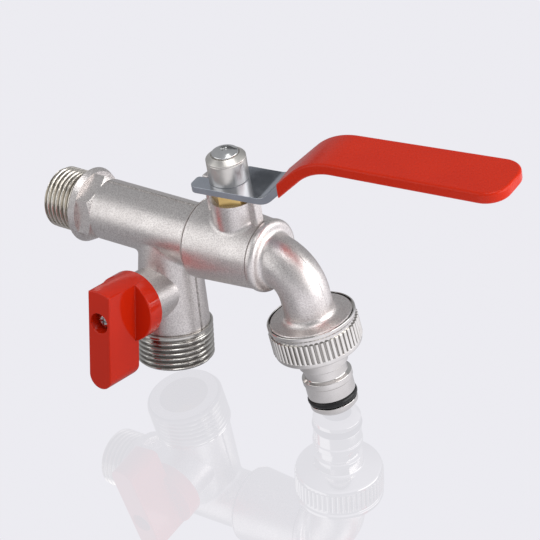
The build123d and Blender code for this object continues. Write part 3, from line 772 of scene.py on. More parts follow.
class Number:
    """A number field of a Geometry Nodes tree that takes part in plain arithmetic."""

    def __init__(self, tree: "ShapeTree", socket: NodeSocket) -> None:
        """Wraps a socket of a tree."""
        self.tree = tree
        self.socket = socket

    def then(self, operation: str, *others: object) -> "Number":
        """The field that a Math node makes of this one and others."""
        node = self.tree.add("ShaderNodeMath", dict(enumerate((self, *others))), operation=operation)
        return Number(self.tree, node.outputs[0])

    def __add__(self, other: object) -> "Number":
        """Sum."""
        return self.then("ADD", other)

    def __sub__(self, other: object) -> "Number":
        """Difference."""
        return self.then("SUBTRACT", other)

    def __mul__(self, other: object) -> "Number":
        """Product."""
        return self.then("MULTIPLY", other)

    def __truediv__(self, other: object) -> "Number":
        """Quotient."""
        return self.then("DIVIDE", other)

    def eased(self, start: float, end: float) -> "Number":
        """A smooth step of this field.

        Args:
            start: Where the step is nought.
            end: Where it is one.

        Returns:
            The step.
        """
        inputs = dict(enumerate((self, start, end, 0.0, 1.0)))
        step = self.tree.add("ShaderNodeMapRange", inputs, interpolation_type="SMOOTHSTEP")
        return Number(self.tree, step.outputs[0])


class ShapeTree(Nodes):
    """A Geometry Nodes tree with named number inputs, which ends realised and painted."""

    def __init__(self, name: str, inputs: dict[str, float | int]) -> None:
        """Starts a tree.

        Args:
            name: The tree's name.
            inputs: The named sizes, which the modifier is given.
        """
        super().__init__(bpy.data.node_groups.new(name, "GeometryNodeTree"))
        self.values = inputs
        face = self.tree.interface
        face.new_socket("Geometry", in_out="INPUT", socket_type="NodeSocketGeometry")
        self.sockets = {}
        for key, value in inputs.items():
            kind = "NodeSocketInt" if isinstance(value, int) else "NodeSocketFloat"
            self.sockets[key] = face.new_socket(key, in_out="INPUT", socket_type=kind)
        self.paint = face.new_socket("Material", in_out="INPUT", socket_type="NodeSocketMaterial")
        face.new_socket("Geometry", in_out="OUTPUT", socket_type="NodeSocketGeometry")
        self.entry = self.add("NodeGroupInput")

    def given(self, name: str) -> Number:
        """A named input as a field."""
        return Number(self, self.entry.outputs[name])

    def mesh(
        self, geometry: Node, material: Material, start: Mesh | None = None
    ) -> Mesh:
        """Realises, smooths and paints the geometry, and evaluates the tree.

        Args:
            geometry: The node that the geometry comes from.
            material: The finish that it is painted with.
            start: A mesh to start from, such as a path.

        Returns:
            The plain mesh.
        """
        real = self.add("GeometryNodeRealizeInstances", {"Geometry": geometry})
        smooth = self.add("GeometryNodeSetShadeSmooth", {"Geometry": real})
        paint = {"Geometry": smooth, "Material": self.entry.outputs["Material"]}
        self.add("NodeGroupOutput", {0: self.add("GeometryNodeSetMaterial", paint)})

        def add(holder: Object) -> None:
            """Adds the tree and its sizes.

            Args:
                holder: The object that gets them.
            """
            modifier = holder.modifiers.new("shape", "NODES")
            modifier.node_group = self.tree
            for key, value in self.values.items():
                modifier[self.sockets[key].identifier] = value
            modifier[self.paint.identifier] = material

        return evaluated(start or bpy.data.meshes.new("start"), add)


@dataclass(frozen=True)
class PipeThread:
    """A male pipe thread as a closed sleeve along local Z, sizes in millimetres.

    Args:
        name: The piece's name.
        radius: Radius over the crests.
        length: Length of the thread.
        bevel: Bevel at the free end.
        runout: Length over which the groove dies out at the shoulder.
        depth: Depth of the groove.
        pitch: Distance between crests.
        inner: Inner radius of the sleeve, hidden in the core.
        flank: Shares of half a pitch between which the groove falls from crest to root.
        rows: Points along the thread.
        spare_turns: Whole turns that keep the winding's count above nought.
        rim: Distance from the middle row, as a share, beyond which a row is a rim.
    """

    name: str
    radius: float
    length: float
    bevel: float
    runout: float
    depth: float
    pitch: float
    inner: float
    flank: Point = (0.10, 0.90)
    rows: int = 110
    spare_turns: float = 16.0
    rim: float = 0.4999

    def mesh(self, material: Material) -> Mesh:
        """Winds the thread from the shoulder at nought to the free end.

        Args:
            material: Its finish.

        Returns:
            The closed sleeve.
        """
        lengths = ("radius", "depth", "pitch", "length", "bevel", "runout", "inner")
        sizes = {key.title(): getattr(self, key) * MM for key in lengths}
        tree = ShapeTree(self.name, {**sizes, "Rows": self.rows})
        crest, pitch, length = tree.given("Radius"), tree.given("Pitch"), tree.given("Length")
        sheet = {"Size X": 1.0, "Size Y": 1.0, "Vertices X": RING_STEPS + 1, "Vertices Y": tree.given("Rows")}
        split = tree.add("ShaderNodeSeparateXYZ", {0: tree.add("GeometryNodeInputPosition")})
        turn = Number(tree, split.outputs[0]) + 0.5
        share = Number(tree, split.outputs[1]) + 0.5
        height = share * length
        wave = ((height / pitch - turn + self.spare_turns).then("FRACT") * 2.0 - 1.0).then("ABSOLUTE")
        deep = wave.eased(*self.flank) * tree.given("Depth") * (height / tree.given("Runout")).eased(0.0, 1.0)
        tip = crest - (tree.given("Bevel") - (length - height)).then("MAXIMUM", 0.0)
        wall = (crest - deep).then("MINIMUM", tip)
        at_rim = (share - 0.5).then("ABSOLUTE").then("GREATER_THAN", self.rim)
        radius = wall + at_rim * (tree.given("Inner") - wall)
        angle = turn * (2 * math.pi)
        place = {0: radius * angle.then("COSINE"), 1: radius * angle.then("SINE"), 2: height}
        spot = tree.add("ShaderNodeCombineXYZ", place)
        grid = tree.add("GeometryNodeMeshGrid", sheet)
        moved = tree.add("GeometryNodeSetPosition", {"Geometry": grid, "Position": spot})
        merged = tree.add("GeometryNodeMergeByDistance", {"Geometry": moved, "Distance": SAME_SPOT})
        return closed_sleeve(tree.mesh(merged, material))


def closed_sleeve(mesh: Mesh) -> Mesh:
    """Joins a sleeve's two open rims by an inner wall.

    Args:
        mesh: The open sleeve.

    Returns:
        The closed one.
    """
    bm = bmesh.new()
    bm.from_mesh(mesh)
    bmesh.ops.remove_doubles(bm, verts=bm.verts, dist=SAME_SPOT)
    bmesh.ops.bridge_loops(bm, edges=[e for e in bm.edges if e.is_boundary])
    bmesh.ops.recalc_face_normals(bm, faces=bm.faces)
    return to_mesh(bm)


@dataclass(frozen=True)
class CastingLine:
    """The thin bead that a mould's joint leaves on a casting, sizes in millimetres.

    Args:
        name: The tree's name.
        width: Radius of the bead.
        proud: How far it stands above the surface.
        sides: Points round the bead.
    """

    name: str
    width: float = 0.45
    proud: float = 0.30
    sides: int = 10

    def mesh(self, path: Sequence[Vector], material: Material) -> Mesh:
        """Runs the bead along a path.

        Args:
            path: Points of the surface, moved in by sunk().
            material: The bead's finish.

        Returns:
            The bead.
        """
        line = bpy.data.meshes.new(self.name)
        line.from_pydata([tuple(p) for p in path], [(i, i + 1) for i in range(len(path) - 1)], [])
        tree = ShapeTree(self.name, {"Bead": self.width * MM})
        curve = tree.add("GeometryNodeMeshToCurve", {0: tree.entry.outputs["Geometry"]})
        section = {"Resolution": self.sides, "Radius": tree.given("Bead")}
        ring = tree.add("GeometryNodeCurvePrimitiveCircle", section)
        sweep = {"Curve": curve, "Profile Curve": ring, "Fill Caps": True}
        return tree.mesh(tree.add("GeometryNodeCurveToMesh", sweep), material, line)

    def sunk(self) -> float:
        """How far the bead's middle lies below the surface."""
        return self.width - self.proud


@dataclass
class TeeBody:
    """The rear casting: inlet thread, hexagon, tube and branch, sizes in millimetres."""

    finishes: Finishes
    inlet_r: float = 10.4775
    inlet_length: float = 11.0
    inlet_bevel: float = 0.6
    inlet_runout: float = 1.4
    inlet_bore_r: float = 7.0
    inlet_end: float = 0.01
    branch_r: float = 13.22
    branch_start: float = 34.6
    branch_end: float = 47.6
    branch_bevel: float = 1.0
    branch_runout: float = 3.4
    branch_bore_r: float = 8.5
    branch_step: float = 0.1
    pitch: float = 1.814
    depth: float = 1.0
    wall: float = 0.25
    tube_r: float = 10.3
    tube_start: float = 9.6
    tube_end: float = 50.0
    neck_top: float = 13.0
    neck_top_r: float = 10.60
    neck_foot_r: float = 12.25

    def build(self) -> None:
        """Builds the casting, its threads and its casting lines."""
        looks = self.finishes
        casting = solid_copy("rear_body", self.sink)
        add_piece("rear_body", casting, looks.cast, Body.TAP)
        inlet = PipeThread(
            "inlet_thread",
            self.inlet_r,
            self.inlet_length,
            self.inlet_bevel,
            self.inlet_runout,
            **self.groove(self.inlet_r),
        )
        self.thread(inlet, AxisFrame(Vector((0, 0, 0)), -X, Y), looks.inlet_thread)
        branch = PipeThread(
            "branch_thread",
            self.branch_r,
            self.branch_end - self.branch_start,
            self.branch_bevel,
            self.branch_runout,
            **self.groove(self.branch_r),
        )
        self.thread(branch, FRAMES["branch"].moved(self.branch_start), looks.branch_thread)
        self.lines()

    def groove(self, crest: float) -> dict[str, float]:
        """The groove of a thread with that crest radius, and its sleeve's hidden inner radius."""
        return {"depth": self.depth, "pitch": self.pitch, "inner": crest - self.depth - 2 * self.wall}

    def sink(self, bm: BMesh) -> None:
        """Turns the threaded ends of the casting's copy down to a core.

        Args:
            bm: The copy.
        """
        branch_from = self.branch_start + self.branch_step
        ends = (
            ("tube", -math.inf, self.inlet_end, self.inlet_bore_r, self.inlet_r),
            ("branch", branch_from, math.inf, self.branch_bore_r, self.branch_r),
        )
        for axis, low, high, bore, crest in ends:
            matrix = FRAMES[axis].matrix()
            inverse = matrix.inverted()
            core = crest - self.depth - self.wall
            for vert in bm.verts:
                local = inverse @ vert.co / MM
                r = math.hypot(local.x, local.y)
                if low < local.z < high and r > max(core, bore + self.wall):
                    share = core / r
                    vert.co = matrix @ (Vector((local.x * share, local.y * share, local.z)) * MM)

    def thread(self, thread: PipeThread, axis: AxisFrame, material: Material) -> None:
        """Adds a thread.

        Args:
            thread: The thread.
            axis: Its axis, from its shoulder to its free end.
            material: Its finish.
        """
        mesh = thread.mesh(material)
        mesh.transform(axis.matrix())
        add_piece(thread.name, mesh, material, Body.TAP)

    def lines(self) -> None:
        """The casting lines along the top of the tube and down both sides of the branch."""
        line = CastingLine("tee_casting_line")
        tube, branch = FRAMES["tube"], FRAMES["branch"]
        lift = -branch.along * (self.tube_r - line.sunk()) * MM
        paths = [[tube.along * h * MM + lift for h in (self.tube_start, self.tube_end)]]
        for angle in (0.0, math.pi):
            upper = branch.point(self.neck_top_r - line.sunk(), angle, self.neck_top)
            lower = branch.point(self.neck_foot_r - line.sunk(), angle, self.branch_start)
            paths.append([upper, lower])
        flash = self.finishes.flash
        for name, path in zip(("tube_line", "branch_line_front", "branch_line_rear"), paths):
            add_piece(name, line.mesh(path, flash), flash, Body.TAP)


@dataclass
class ValveBody:
    """The front casting: barrel, stem boss, lugs, bead, elbow and flange, sizes in millimetres."""

    finishes: Finishes
    elbow_x: float = 76.5
    elbow_r: float = 8.2
    bend_r: float = 13.0
    line_proud: float = 0.12
    line_start_deg: float = 30.0
    line_tail: float = 5.4
    seam_groove: Point = (51.35, 13.55)
    ring_groove: Point = (76.1, 11.76)
    groove_half: float = 0.22
    groove_deep: float = 0.75
    groove_skin: float = 0.3
    groove_slack: float = 0.01

    def build(self) -> None:
        """Builds the casting and its line round the outside of the elbow."""
        cast, spout_way = self.finishes.cast, FRAMES["spout"].along
        add_piece("front_body", solid_copy("front_body", self.score), cast, Body.TAP)
        line = CastingLine("elbow_casting_line", proud=self.line_proud)
        middle = Vector((self.elbow_x, 0, -self.bend_r)) * MM
        reach = (self.bend_r + self.elbow_r - line.sunk()) * MM
        sweep_deg = 90 - math.degrees(math.asin(spout_way.x)) - self.line_start_deg
        steps = range(BEND_STEPS + 1)
        turns = [math.radians(self.line_start_deg + sweep_deg * k / BEND_STEPS) for k in steps]
        path = [middle + reach * Vector((math.sin(a), 0, math.cos(a))) for a in turns]
        path.append(path[-1] + spout_way * self.line_tail * MM)
        add_piece("elbow_line", line.mesh(path, cast), cast, Body.TAP)

    def score(self, bm: BMesh) -> None:
        """Cuts the narrow grooves by the seam and by the front ring.

        Args:
            bm: The casting's copy.
        """
        for x, r in (self.seam_groove, self.ring_groove):
            for offset in (-self.groove_half, 0.0, self.groove_half):
                everything = bm.verts[:] + bm.edges[:] + bm.faces[:]
                spot = X * (x + offset) * MM
                bmesh.ops.bisect_plane(bm, geom=everything, plane_co=spot, plane_no=X, dist=SAME_SPOT)
            for vert in bm.verts:
                on_groove = abs(vert.co.x / MM - x) < self.groove_slack
                if on_groove and math.hypot(vert.co.y, vert.co.z) / MM > r - self.groove_skin:
                    vert.co.y *= 1 - self.groove_deep / r
                    vert.co.z *= 1 - self.groove_deep / r


@dataclass(frozen=True)
class CrossScrew:
    """A screw with a cross recess, along local Z, sizes in millimetres.

    Args:
        shank_r: Radius of the shank.
        tip: Height of the shank's end.
        seat: Height of the head's underside.
        head_r: Radius of the head.
        side: Height of the head's straight side.
        crown: Radius, and height over the seat, of the corner between the side and the top.
        rise: Height of the head.
        rounds: Roundings of the head's foot, side and crown.
        arm_width: Width of the recess's arms.
        arm: Half length of the arms at the mouth.
        deep: Depth of the recess from its mouth.
        mouth: Height of the mouth over the head's top.
        foot: Least reach of the arms at the foot, as shares of their length and width.
        tip_round: Rounding of the shank's end.
    """

    shank_r: float
    tip: float
    seat: float
    head_r: float
    side: float
    crown: Point
    rise: float
    rounds: Place
    arm_width: float
    arm: float
    deep: float
    mouth: float = 0.3
    foot: Point = (0.4, 0.8)
    tip_round: float = 0.3

    def mesh(self, axis: AxisFrame) -> Mesh:
        """Turns the screw and cuts its recess.

        Args:
            axis: The axis that it is placed on.

        Returns:
            The screw.
        """
        foot_round, side_round, crown_round = self.rounds
        corners = [
            Corner(0, self.tip),
            Corner(self.shank_r, self.tip, self.tip_round),
            Corner(self.shank_r, self.seat),
            Corner(self.head_r, self.seat, foot_round),
            Corner(self.head_r, self.seat + self.side, side_round),
            Corner(self.crown[0], self.seat + self.crown[1], crown_round),
            Corner(0, self.seat + self.rise),
        ]
        cutter = linked("cutter", self.recess())
        blank = to_mesh(turned(corners, False, SCREW_STEPS))
        mesh = modified(blank, "BOOLEAN", operation="DIFFERENCE", solver="EXACT", object=cutter)
        bpy.data.objects.remove(cutter)
        mesh.transform(axis.matrix())
        return mesh

    def recess(self) -> Mesh:
        """A tapered cross that cuts the recess.

        Returns:
            The cutter's mesh.
        """
        bm = bmesh.new()
        half, top = self.arm_width / 2, self.seat + self.rise + self.mouth
        foot_arm = max(self.arm * self.foot[0], self.arm_width * self.foot[1])
        loops = []
        for z, reach in ((top, self.arm), (top - self.deep, foot_arm)):
            quarter = [Vector((reach, -half)), Vector((reach, half)), Vector((half, half))]
            turns = [Matrix.Rotation(k * math.pi / 2, 2) for k in range(4)]
            loop = [turn @ corner for turn in turns for corner in quarter]
            loops.append([bm.verts.new((p.x * MM, p.y * MM, z * MM)) for p in loop])
        upper, lower = loops
        bm.faces.new(upper)
        bm.faces.new(lower[::-1])
        for k in range(len(upper)):
            after = (k + 1) % len(upper)
            bm.faces.new((upper[after], upper[k], lower[k], lower[after]))
        bmesh.ops.recalc_face_normals(bm, faces=bm.faces)
        return to_mesh(bm)


@dataclass
class MainLever:
    """The lever with its dipped grip, cap and screw, and the gland below it, sizes in millimetres."""

    finishes: Finishes
    edge: float = 0.3
    plate_top: float = 26.6
    cap_r: float = 6.55
    cap_top: float = 36.0
    cap_bevel: Point = (1.85, 1.5)
    cap_round: float = 0.25
    cap_lip_round: float = 0.12
    cap_line: float = 0.6
    cap_line_half: float = 0.15
    cap_groove_r: float = 4.3
    cap_groove_deep: float = 0.35
    cap_groove_slope: float = 0.15
    cap_pocket_r: float = 4.1
    cap_pocket: float = 3.0
    screw_play: float = 0.1
    screw: CrossScrew = CrossScrew(
        shank_r=2.0, tip=23.3, seat=cap_top, head_r=4.4, side=0.45, crown=(2.728, 1.23), rise=1.5,
        rounds=(0.12, 0.3, 2.0), arm_width=0.7, arm=1.5, deep=1.2,
    )

    def build(self) -> None:
        """Builds the lever's pieces."""
        looks = self.finishes
        add_piece("lever_plate", edged_copy("lever_plate", self.edge), looks.sheet, Body.LEVER)
        add_piece("lever_grip", solid_copy("lever_grip"), looks.vinyl, Body.LEVER)
        add_piece("gland_nut", edged_copy("gland_nut", self.edge), looks.brass, Body.TAP)
        add_piece("lever_cap", self.cap(), looks.cap, Body.LEVER)
        add_piece("lever_screw", self.screw.mesh(FRAMES["stem"]), looks.screw, Body.LEVER)

    def cap(self) -> Mesh:
        """The turned cap with a wide bevel, a fine line and a groove round the screw's head.

        Returns:
            The cap.
        """
        bevel_foot = self.cap_top - self.cap_bevel[1]
        line, half = bevel_foot - self.cap_line, self.cap_line_half
        groove_foot, pocket_top = self.cap_top - self.cap_groove_deep, self.plate_top + self.cap_pocket
        hole_r = self.screw.shank_r + self.screw_play
        corners = [
            Corner(self.cap_pocket_r, self.plate_top),
            Corner(self.cap_r, self.plate_top, self.cap_round),
            Corner(self.cap_r, line - half),
            Corner(self.cap_r - half, line),
            Corner(self.cap_r, line + half),
            Corner(self.cap_r, bevel_foot, self.cap_round),
            Corner(self.cap_r - self.cap_bevel[0], self.cap_top, self.cap_lip_round),
            Corner(self.cap_groove_r + self.cap_groove_slope, groove_foot),
            Corner(self.cap_groove_r, groove_foot),
            Corner(self.cap_groove_r, self.cap_top),
            Corner(hole_r, self.cap_top),
            Corner(hole_r, pocket_top),
            Corner(self.cap_pocket_r, pocket_top),
        ]
        return to_mesh(turned(corners), FRAMES["stem"])


@dataclass
class BranchLever:
    """The branch's moulded handle and its sunk screw, sizes in millimetres."""

    finishes: Finishes
    edge: float = 0.22
    screw: CrossScrew = CrossScrew(
        shank_r=1.5, tip=20.2, seat=30.4, head_r=3.0, side=3.2, crown=(1.5, 4.3), rise=4.3,
        rounds=(0.2, 0.6, 1.0), arm_width=0.8, arm=1.8, deep=1.5,
    )

    def build(self) -> None:
        """Builds the handle and its screw."""
        looks = self.finishes
        handle = edged_copy("branch_handle", self.edge, clamp=False)
        add_piece("branch_handle", handle, looks.plastic, Body.HANDLE)
        screw = self.screw.mesh(FRAMES["handle"])
        add_piece("branch_handle_screw", screw, looks.screw, Body.HANDLE)


@dataclass
class HoseAdaptor:
    """The knurled hose adaptor with its black ring, sizes in millimetres.

    Heights run along the spout from the flange's rim plane.
    """

    finishes: Finishes
    lip: float = 0.05
    mouth_r: float = 14.25
    mouth_deep: float = 2.0
    rim_r: float = 14.7
    rim_end: float = 1.3
    knurl_start: float = 3.1
    knurl_end: float = 10.1
    knurl_r: float = 14.95
    knurl_deep: float = 0.7
    ribs: int = 52
    rib_share: float = 0.37
    rib_sides: int = 14
    sleeve_proud: float = 0.02
    band_r: float = 14.5
    band_end: float = 11.8
    neck_top: float = 13.4
    neck_r: float = 8.2
    neck_end: float = 18.0
    waist_r: float = 7.15
    slope: float = 0.5
    catch: float = 21.6
    catch_rise: float = 0.6
    catch_r: float = 8.35
    catch_end: float = 24.2
    catch_fall: float = 0.4
    nose_r: float = 8.0
    ring_at: float = 30.5
    ring_section_r: float = 1.3
    ring_out_r: float = 8.35
    ring_play: float = 0.05
    tip_r: float = 6.6
    end: float = 34.8
    bore_r: float = 4.8
    floor: float = 10.2
    thread_r: float = 13.32

    def build(self) -> None:
        """Builds the adaptor, its knurl and its ring."""
        looks = self.finishes
        add_piece("hose_adaptor", self.cup(), looks.adaptor, Body.TAP)
        add_piece("adaptor_knurl", self.knurl(), looks.knurl, Body.TAP)
        add_piece("adaptor_o_ring", self.ring(), looks.rubber, Body.TAP)

    def root_r(self) -> float:
        """Radius at the roots of the knurl."""
        return self.knurl_r - self.knurl_deep

    def cup(self) -> Mesh:
        """The turned body.

        Returns:
            The body.
        """
        groove_r = self.ring_out_r - 2 * self.ring_section_r
        groove = self.ring_section_r + self.ring_play
        corners = [
            Corner(self.mouth_r, self.lip, 0.15),
            Corner(self.rim_r, self.lip, 0.25),
            Corner(self.rim_r, self.rim_end, 0.3),
            Corner(self.root_r(), self.rim_end + self.slope, 0.3),
            Corner(self.root_r(), self.knurl_end),
            Corner(self.band_r, self.knurl_end, 0.15),
            Corner(self.band_r, self.band_end, 0.9),
            Corner(self.neck_r, self.neck_top, 0.8),
            Corner(self.neck_r, self.neck_end, 0.3),
            Corner(self.waist_r, self.neck_end + self.slope, 0.3),
            Corner(self.waist_r, self.catch, 0.4),
            Corner(self.catch_r, self.catch + self.catch_rise, 0.2),
            Corner(self.catch_r, self.catch_end, 0.2),
            Corner(self.nose_r, self.catch_end + self.catch_fall, 0.2),
            Corner(self.nose_r, self.ring_at - groove, 0.15),
            Corner(groove_r, self.ring_at - groove),
            Corner(groove_r, self.ring_at + groove),
            Corner(self.nose_r, self.ring_at + groove, 0.15),
            Corner(self.nose_r, self.end - (self.nose_r - self.tip_r), 0.3),
            Corner(self.tip_r, self.end, 0.25),
            Corner(self.bore_r, self.end, 0.3),
            Corner(self.bore_r, self.floor),
            Corner(self.thread_r, self.floor),
            Corner(self.thread_r, self.mouth_deep),
            Corner(self.mouth_r, self.mouth_deep),
        ]
        return to_mesh(turned(corners), FRAMES["spout"])

    def knurl(self) -> Mesh:
        """The straight ribs round the cup, on a thin sleeve.

        Returns:
            The knurl.
        """
        sizes = {
            "Ring": self.root_r() * MM,
            "Ribs": self.ribs,
            "Proud": self.knurl_deep * MM,
            "Width": 2 * math.pi * self.root_r() / self.ribs * self.rib_share * MM,
            "Length": (self.knurl_end - self.knurl_start) * MM,
            "Middle": (self.knurl_start + self.knurl_end) / 2 * MM,
        }
        tree = ShapeTree("knurl", sizes)
        root, length = tree.given("Ring"), tree.given("Length")
        ring = tree.add("GeometryNodeMeshCircle", {"Vertices": tree.given("Ribs"), "Radius": root})
        tube = {"Vertices": RING_STEPS, "Radius": root + self.sleeve_proud * MM, "Depth": length}
        sleeve = tree.add("GeometryNodeMeshCylinder", tube)
        rod = {"Vertices": self.rib_sides, "Radius": 1.0, "Depth": length}
        stretch = tree.add("ShaderNodeCombineXYZ", {0: tree.given("Proud"), 1: tree.given("Width"), 2: 1.0})
        bar = tree.add("GeometryNodeMeshCylinder", rod)
        rib = tree.add("GeometryNodeTransform", {"Geometry": bar, "Scale": stretch})
        outwards = {"Vector": tree.add("GeometryNodeInputPosition")}
        facing = tree.add("FunctionNodeAlignRotationToVector", outwards, axis="X", pivot_axis="Z")
        spread = {"Points": ring, "Instance": rib, "Rotation": facing}
        whole = tree.add("GeometryNodeJoinGeometry", {0: tree.add("GeometryNodeInstanceOnPoints", spread)})
        tree.feed(whole.inputs[0], sleeve)
        lift = tree.add("ShaderNodeCombineXYZ", {2: tree.given("Middle")})
        raised = tree.add("GeometryNodeTransform", {"Geometry": whole, "Translation": lift})
        mesh = tree.mesh(raised, self.finishes.knurl)
        mesh.transform(FRAMES["spout"].matrix())
        return mesh

    def ring(self) -> Mesh:
        """The black sealing ring in its groove.

        Returns:
            The ring.
        """
        section = self.ring_section_r
        middle_r = self.ring_out_r - section
        turns = [2 * math.pi * k / BEND_STEPS for k in range(BEND_STEPS)]
        corners = [
            Corner(middle_r + section * math.cos(a), self.ring_at + section * math.sin(a)) for a in turns
        ]
        return to_mesh(turned(corners), FRAMES["spout"])


@dataclass
class InnerPieces:
    """The valves' inner solids, which keep their own meshes."""

    finishes: Finishes

    def dress(self) -> None:
        """Gives each inner solid its finish."""
        finish_of = {
            Slot.BRASS.value: self.finishes.brass,
            Slot.BALL.value: self.finishes.ball,
            Slot.SEAT.value: self.finishes.seat,
            Slot.RUBBER.value: self.finishes.rubber,
        }
        for part in frame["record"]["subparts"]:
            solid = frame["nodes"][part["node"]]
            if solid.hide_render:
                continue
            solid.data.materials.clear()
            solid.data.materials.append(finish_of[part["material_slot"]])
            LOG.info("%s keeps its own mesh", part["node"])


@dataclass(frozen=True)
class SoftBox:
    """A rectangular light that faces the tap.

    Args:
        name: The light's name.
        way: Direction from the tap to the light.
        size: Width and height, in metres.
        watts: Power.
        distance: Distance from the tap, in metres.
    """

    name: str
    way: Place
    size: Point
    watts: float
    distance: float = 0.95


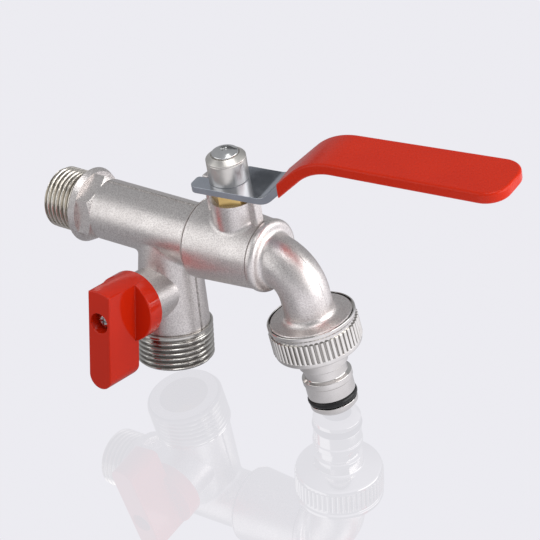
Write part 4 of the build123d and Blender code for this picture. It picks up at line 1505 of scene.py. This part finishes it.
@dataclass
class Studio:
    """The camera, lights, floor and backdrop, in metres."""

    eye: Place = (0.63181, -0.60830, 0.52018)
    right: Place = (0.7895, 0.5966, -0.1439)
    back: Place = (0.5684, -0.6223, 0.5382)
    lens_mm: float = 201.8
    sensor_mm: float = 36.0
    clip: Point = (0.05, 20.0)
    target: Place = (0.06, 0.0, 0.0)
    floor_gap: float = 0.0006
    floor_half: float = 8.0
    pale: Colour = (0.84, 0.835, 0.88)
    sky: Colour = (0.95, 0.97, 1.0)
    sky_level: float = 0.40
    floor_levels: Point = (0.42, 1.20)
    floor_ramp: Point = (0.06, 0.14)
    mirror: float = 0.16
    card_from: Place = (0.077, 0.002, 0.0266)
    card_distance: float = 0.05
    card_size: Point = (0.026, 0.013)
    card_level: float = 0.10
    boxes: tuple[SoftBox, ...] = (
        SoftBox("right_box", (0.90, 0.36, 0.22), (1.1, 0.9), 10.0),
        SoftBox("front_left_box", (-0.50, -0.73, 0.42), (0.9, 0.9), 2.35),
        SoftBox("top_box", (0.27, 0.0, 0.96), (0.6, 0.6), 2.6),
    )

    def build(self) -> None:
        """Sets up the whole studio."""
        self.camera()
        self.world()
        unlit = self.floor()
        self.card()
        self.lights(unlit)
        bpy.context.scene.view_settings.view_transform = "Standard"

    def camera(self) -> None:
        """The camera at the photograph's place and angle."""
        data = bpy.data.cameras.new("camera")
        data.lens, data.sensor_width = self.lens_mm, self.sensor_mm
        data.clip_start, data.clip_end = self.clip
        camera = linked("camera", data)
        back, right = Vector(self.back).normalized(), Vector(self.right).normalized()
        turn = Matrix((right, back.cross(right), back)).transposed().to_4x4()
        camera.matrix_world = Matrix.Translation(Vector(self.eye)) @ turn
        bpy.context.scene.camera = camera

    def world(self) -> None:
        """A sky that is pale to the camera and in the floor's sharp mirror image, and dimmer elsewhere."""
        world = bpy.data.worlds.new("sky")
        bpy.context.scene.world = world
        world.use_nodes = True
        nodes = Nodes(world.node_tree)
        path = nodes.add("ShaderNodeLightPath").outputs
        rays = {0: path["Is Camera Ray"], 1: path["Is Singular Ray"]}
        share = nodes.add("ShaderNodeMath", rays, operation="MAXIMUM")
        dim = nodes.add("ShaderNodeBackground", {"Color": (*self.sky, 1), "Strength": self.sky_level})
        pale = nodes.add("ShaderNodeBackground", {"Color": (*self.pale, 1), "Strength": 1.0})
        mix = nodes.add("ShaderNodeMixShader", {0: share, 1: dim, 2: pale})
        nodes.add("ShaderNodeOutputWorld", {"Surface": mix})

    @staticmethod
    def sheet(name: str, corners: Sequence[Place], material: Material) -> Object:
        """Adds a flat sheet.

        Args:
            name: The sheet's name.
            corners: Its four corners.
            material: Its finish.

        Returns:
            The sheet.
        """
        mesh = bpy.data.meshes.new(name)
        mesh.from_pydata(corners, [], [(0, 1, 2, 3)])
        mesh.materials.append(material)
        return linked(name, mesh)

    def card(self) -> None:
        """A dark card over the tap that only its bright metal mirrors."""
        half_x, half_y = self.card_size[0] / 2, self.card_size[1] / 2
        way = Vector((-self.back[0], -self.back[1], self.back[2])).normalized()
        turn = way.to_track_quat("Z", "Y").to_matrix()
        middle = Vector(self.card_from) + way * self.card_distance
        outline = [(-half_x, -half_y), (half_x, -half_y), (half_x, half_y), (-half_x, half_y)]
        g = Graph("dark_card")
        glow = g.add("ShaderNodeEmission", {"Color": (*self.sky, 1), "Strength": self.card_level})
        corners = [tuple(middle + turn @ Vector((x, y, 0))) for x, y in outline]
        card = self.sheet("dark_card", corners, g.finish(glow))
        card.visible_camera = False
        card.visible_diffuse = False
        card.visible_shadow = False
        card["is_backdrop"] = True

    def floor(self) -> Collection:
        """A pale floor just below the tap, with a faint mirror image for the camera.

        Returns:
            A collection that keeps lights off the floor.
        """
        low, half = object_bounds()[0].z - self.floor_gap, self.floor_half
        corners = [(-half, -half, low), (half, -half, low), (half, half, low), (-half, half, low)]
        floor = self.sheet("floor", corners, self.floor_material())
        floor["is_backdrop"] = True
        unlit = bpy.data.collections.new("unlit")
        unlit.objects.link(floor)
        unlit.collection_objects[0].light_linking.link_state = "EXCLUDE"
        return unlit

    def floor_material(self) -> Material:
        """An even pale sheet that mirrors a little to the camera, is dimmer to the tap and clear from below.

        Returns:
            The material.
        """
        g = Graph("floor_sheet")
        pale = {"Color": (*self.pale, 1)}
        sheet = g.add("ShaderNodeEmission", pale)
        gloss = g.add("ShaderNodeBsdfGlossy", {"Color": (1, 1, 1, 1), "Roughness": 0.0})
        seen = g.add("ShaderNodeMixShader", {0: self.mirror, 1: sheet, 2: gloss})
        across = g.add("ShaderNodeSeparateXYZ", {0: g.coords})
        ramp = dict(enumerate((across, *self.floor_ramp, *self.floor_levels)))
        level = g.add("ShaderNodeMapRange", ramp, interpolation_type="SMOOTHSTEP")
        dim = g.add("ShaderNodeEmission", {**pale, "Strength": level})
        to_camera = g.add("ShaderNodeLightPath").outputs["Is Camera Ray"]
        top = g.add("ShaderNodeMixShader", {0: to_camera, 1: dim, 2: seen})
        below = g.add("ShaderNodeNewGeometry").outputs["Backfacing"]
        clear = g.add("ShaderNodeBsdfTransparent")
        return g.finish(g.add("ShaderNodeMixShader", {0: below, 1: top, 2: clear}))

    def lights(self, unlit: Collection) -> None:
        """The soft boxes round the tap.

        Args:
            unlit: What they leave unlit.
        """
        for box in self.boxes:
            data = bpy.data.lights.new(box.name, "AREA")
            data.energy = box.watts
            data.shape = "RECTANGLE"
            data.size, data.size_y = box.size
            lamp = linked(box.name, data)
            way = Vector(box.way).normalized()
            lamp.location = Vector(self.target) + way * box.distance
            lamp.rotation_euler = (-way).to_track_quat("-Z", "Y").to_euler()
            lamp.light_linking.receiver_collection = unlit


def main() -> None:
    """Builds every sub-assembly and the studio."""
    logging.basicConfig(level=logging.INFO, format="%(name)s: %(message)s")
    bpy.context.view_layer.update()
    finishes = Finishes()
    for assembly in (TeeBody, ValveBody, MainLever, BranchLever, HoseAdaptor):
        assembly(finishes).build()
    InnerPieces(finishes).dress()
    Studio().build()


if __name__ == "__main__":
    main()
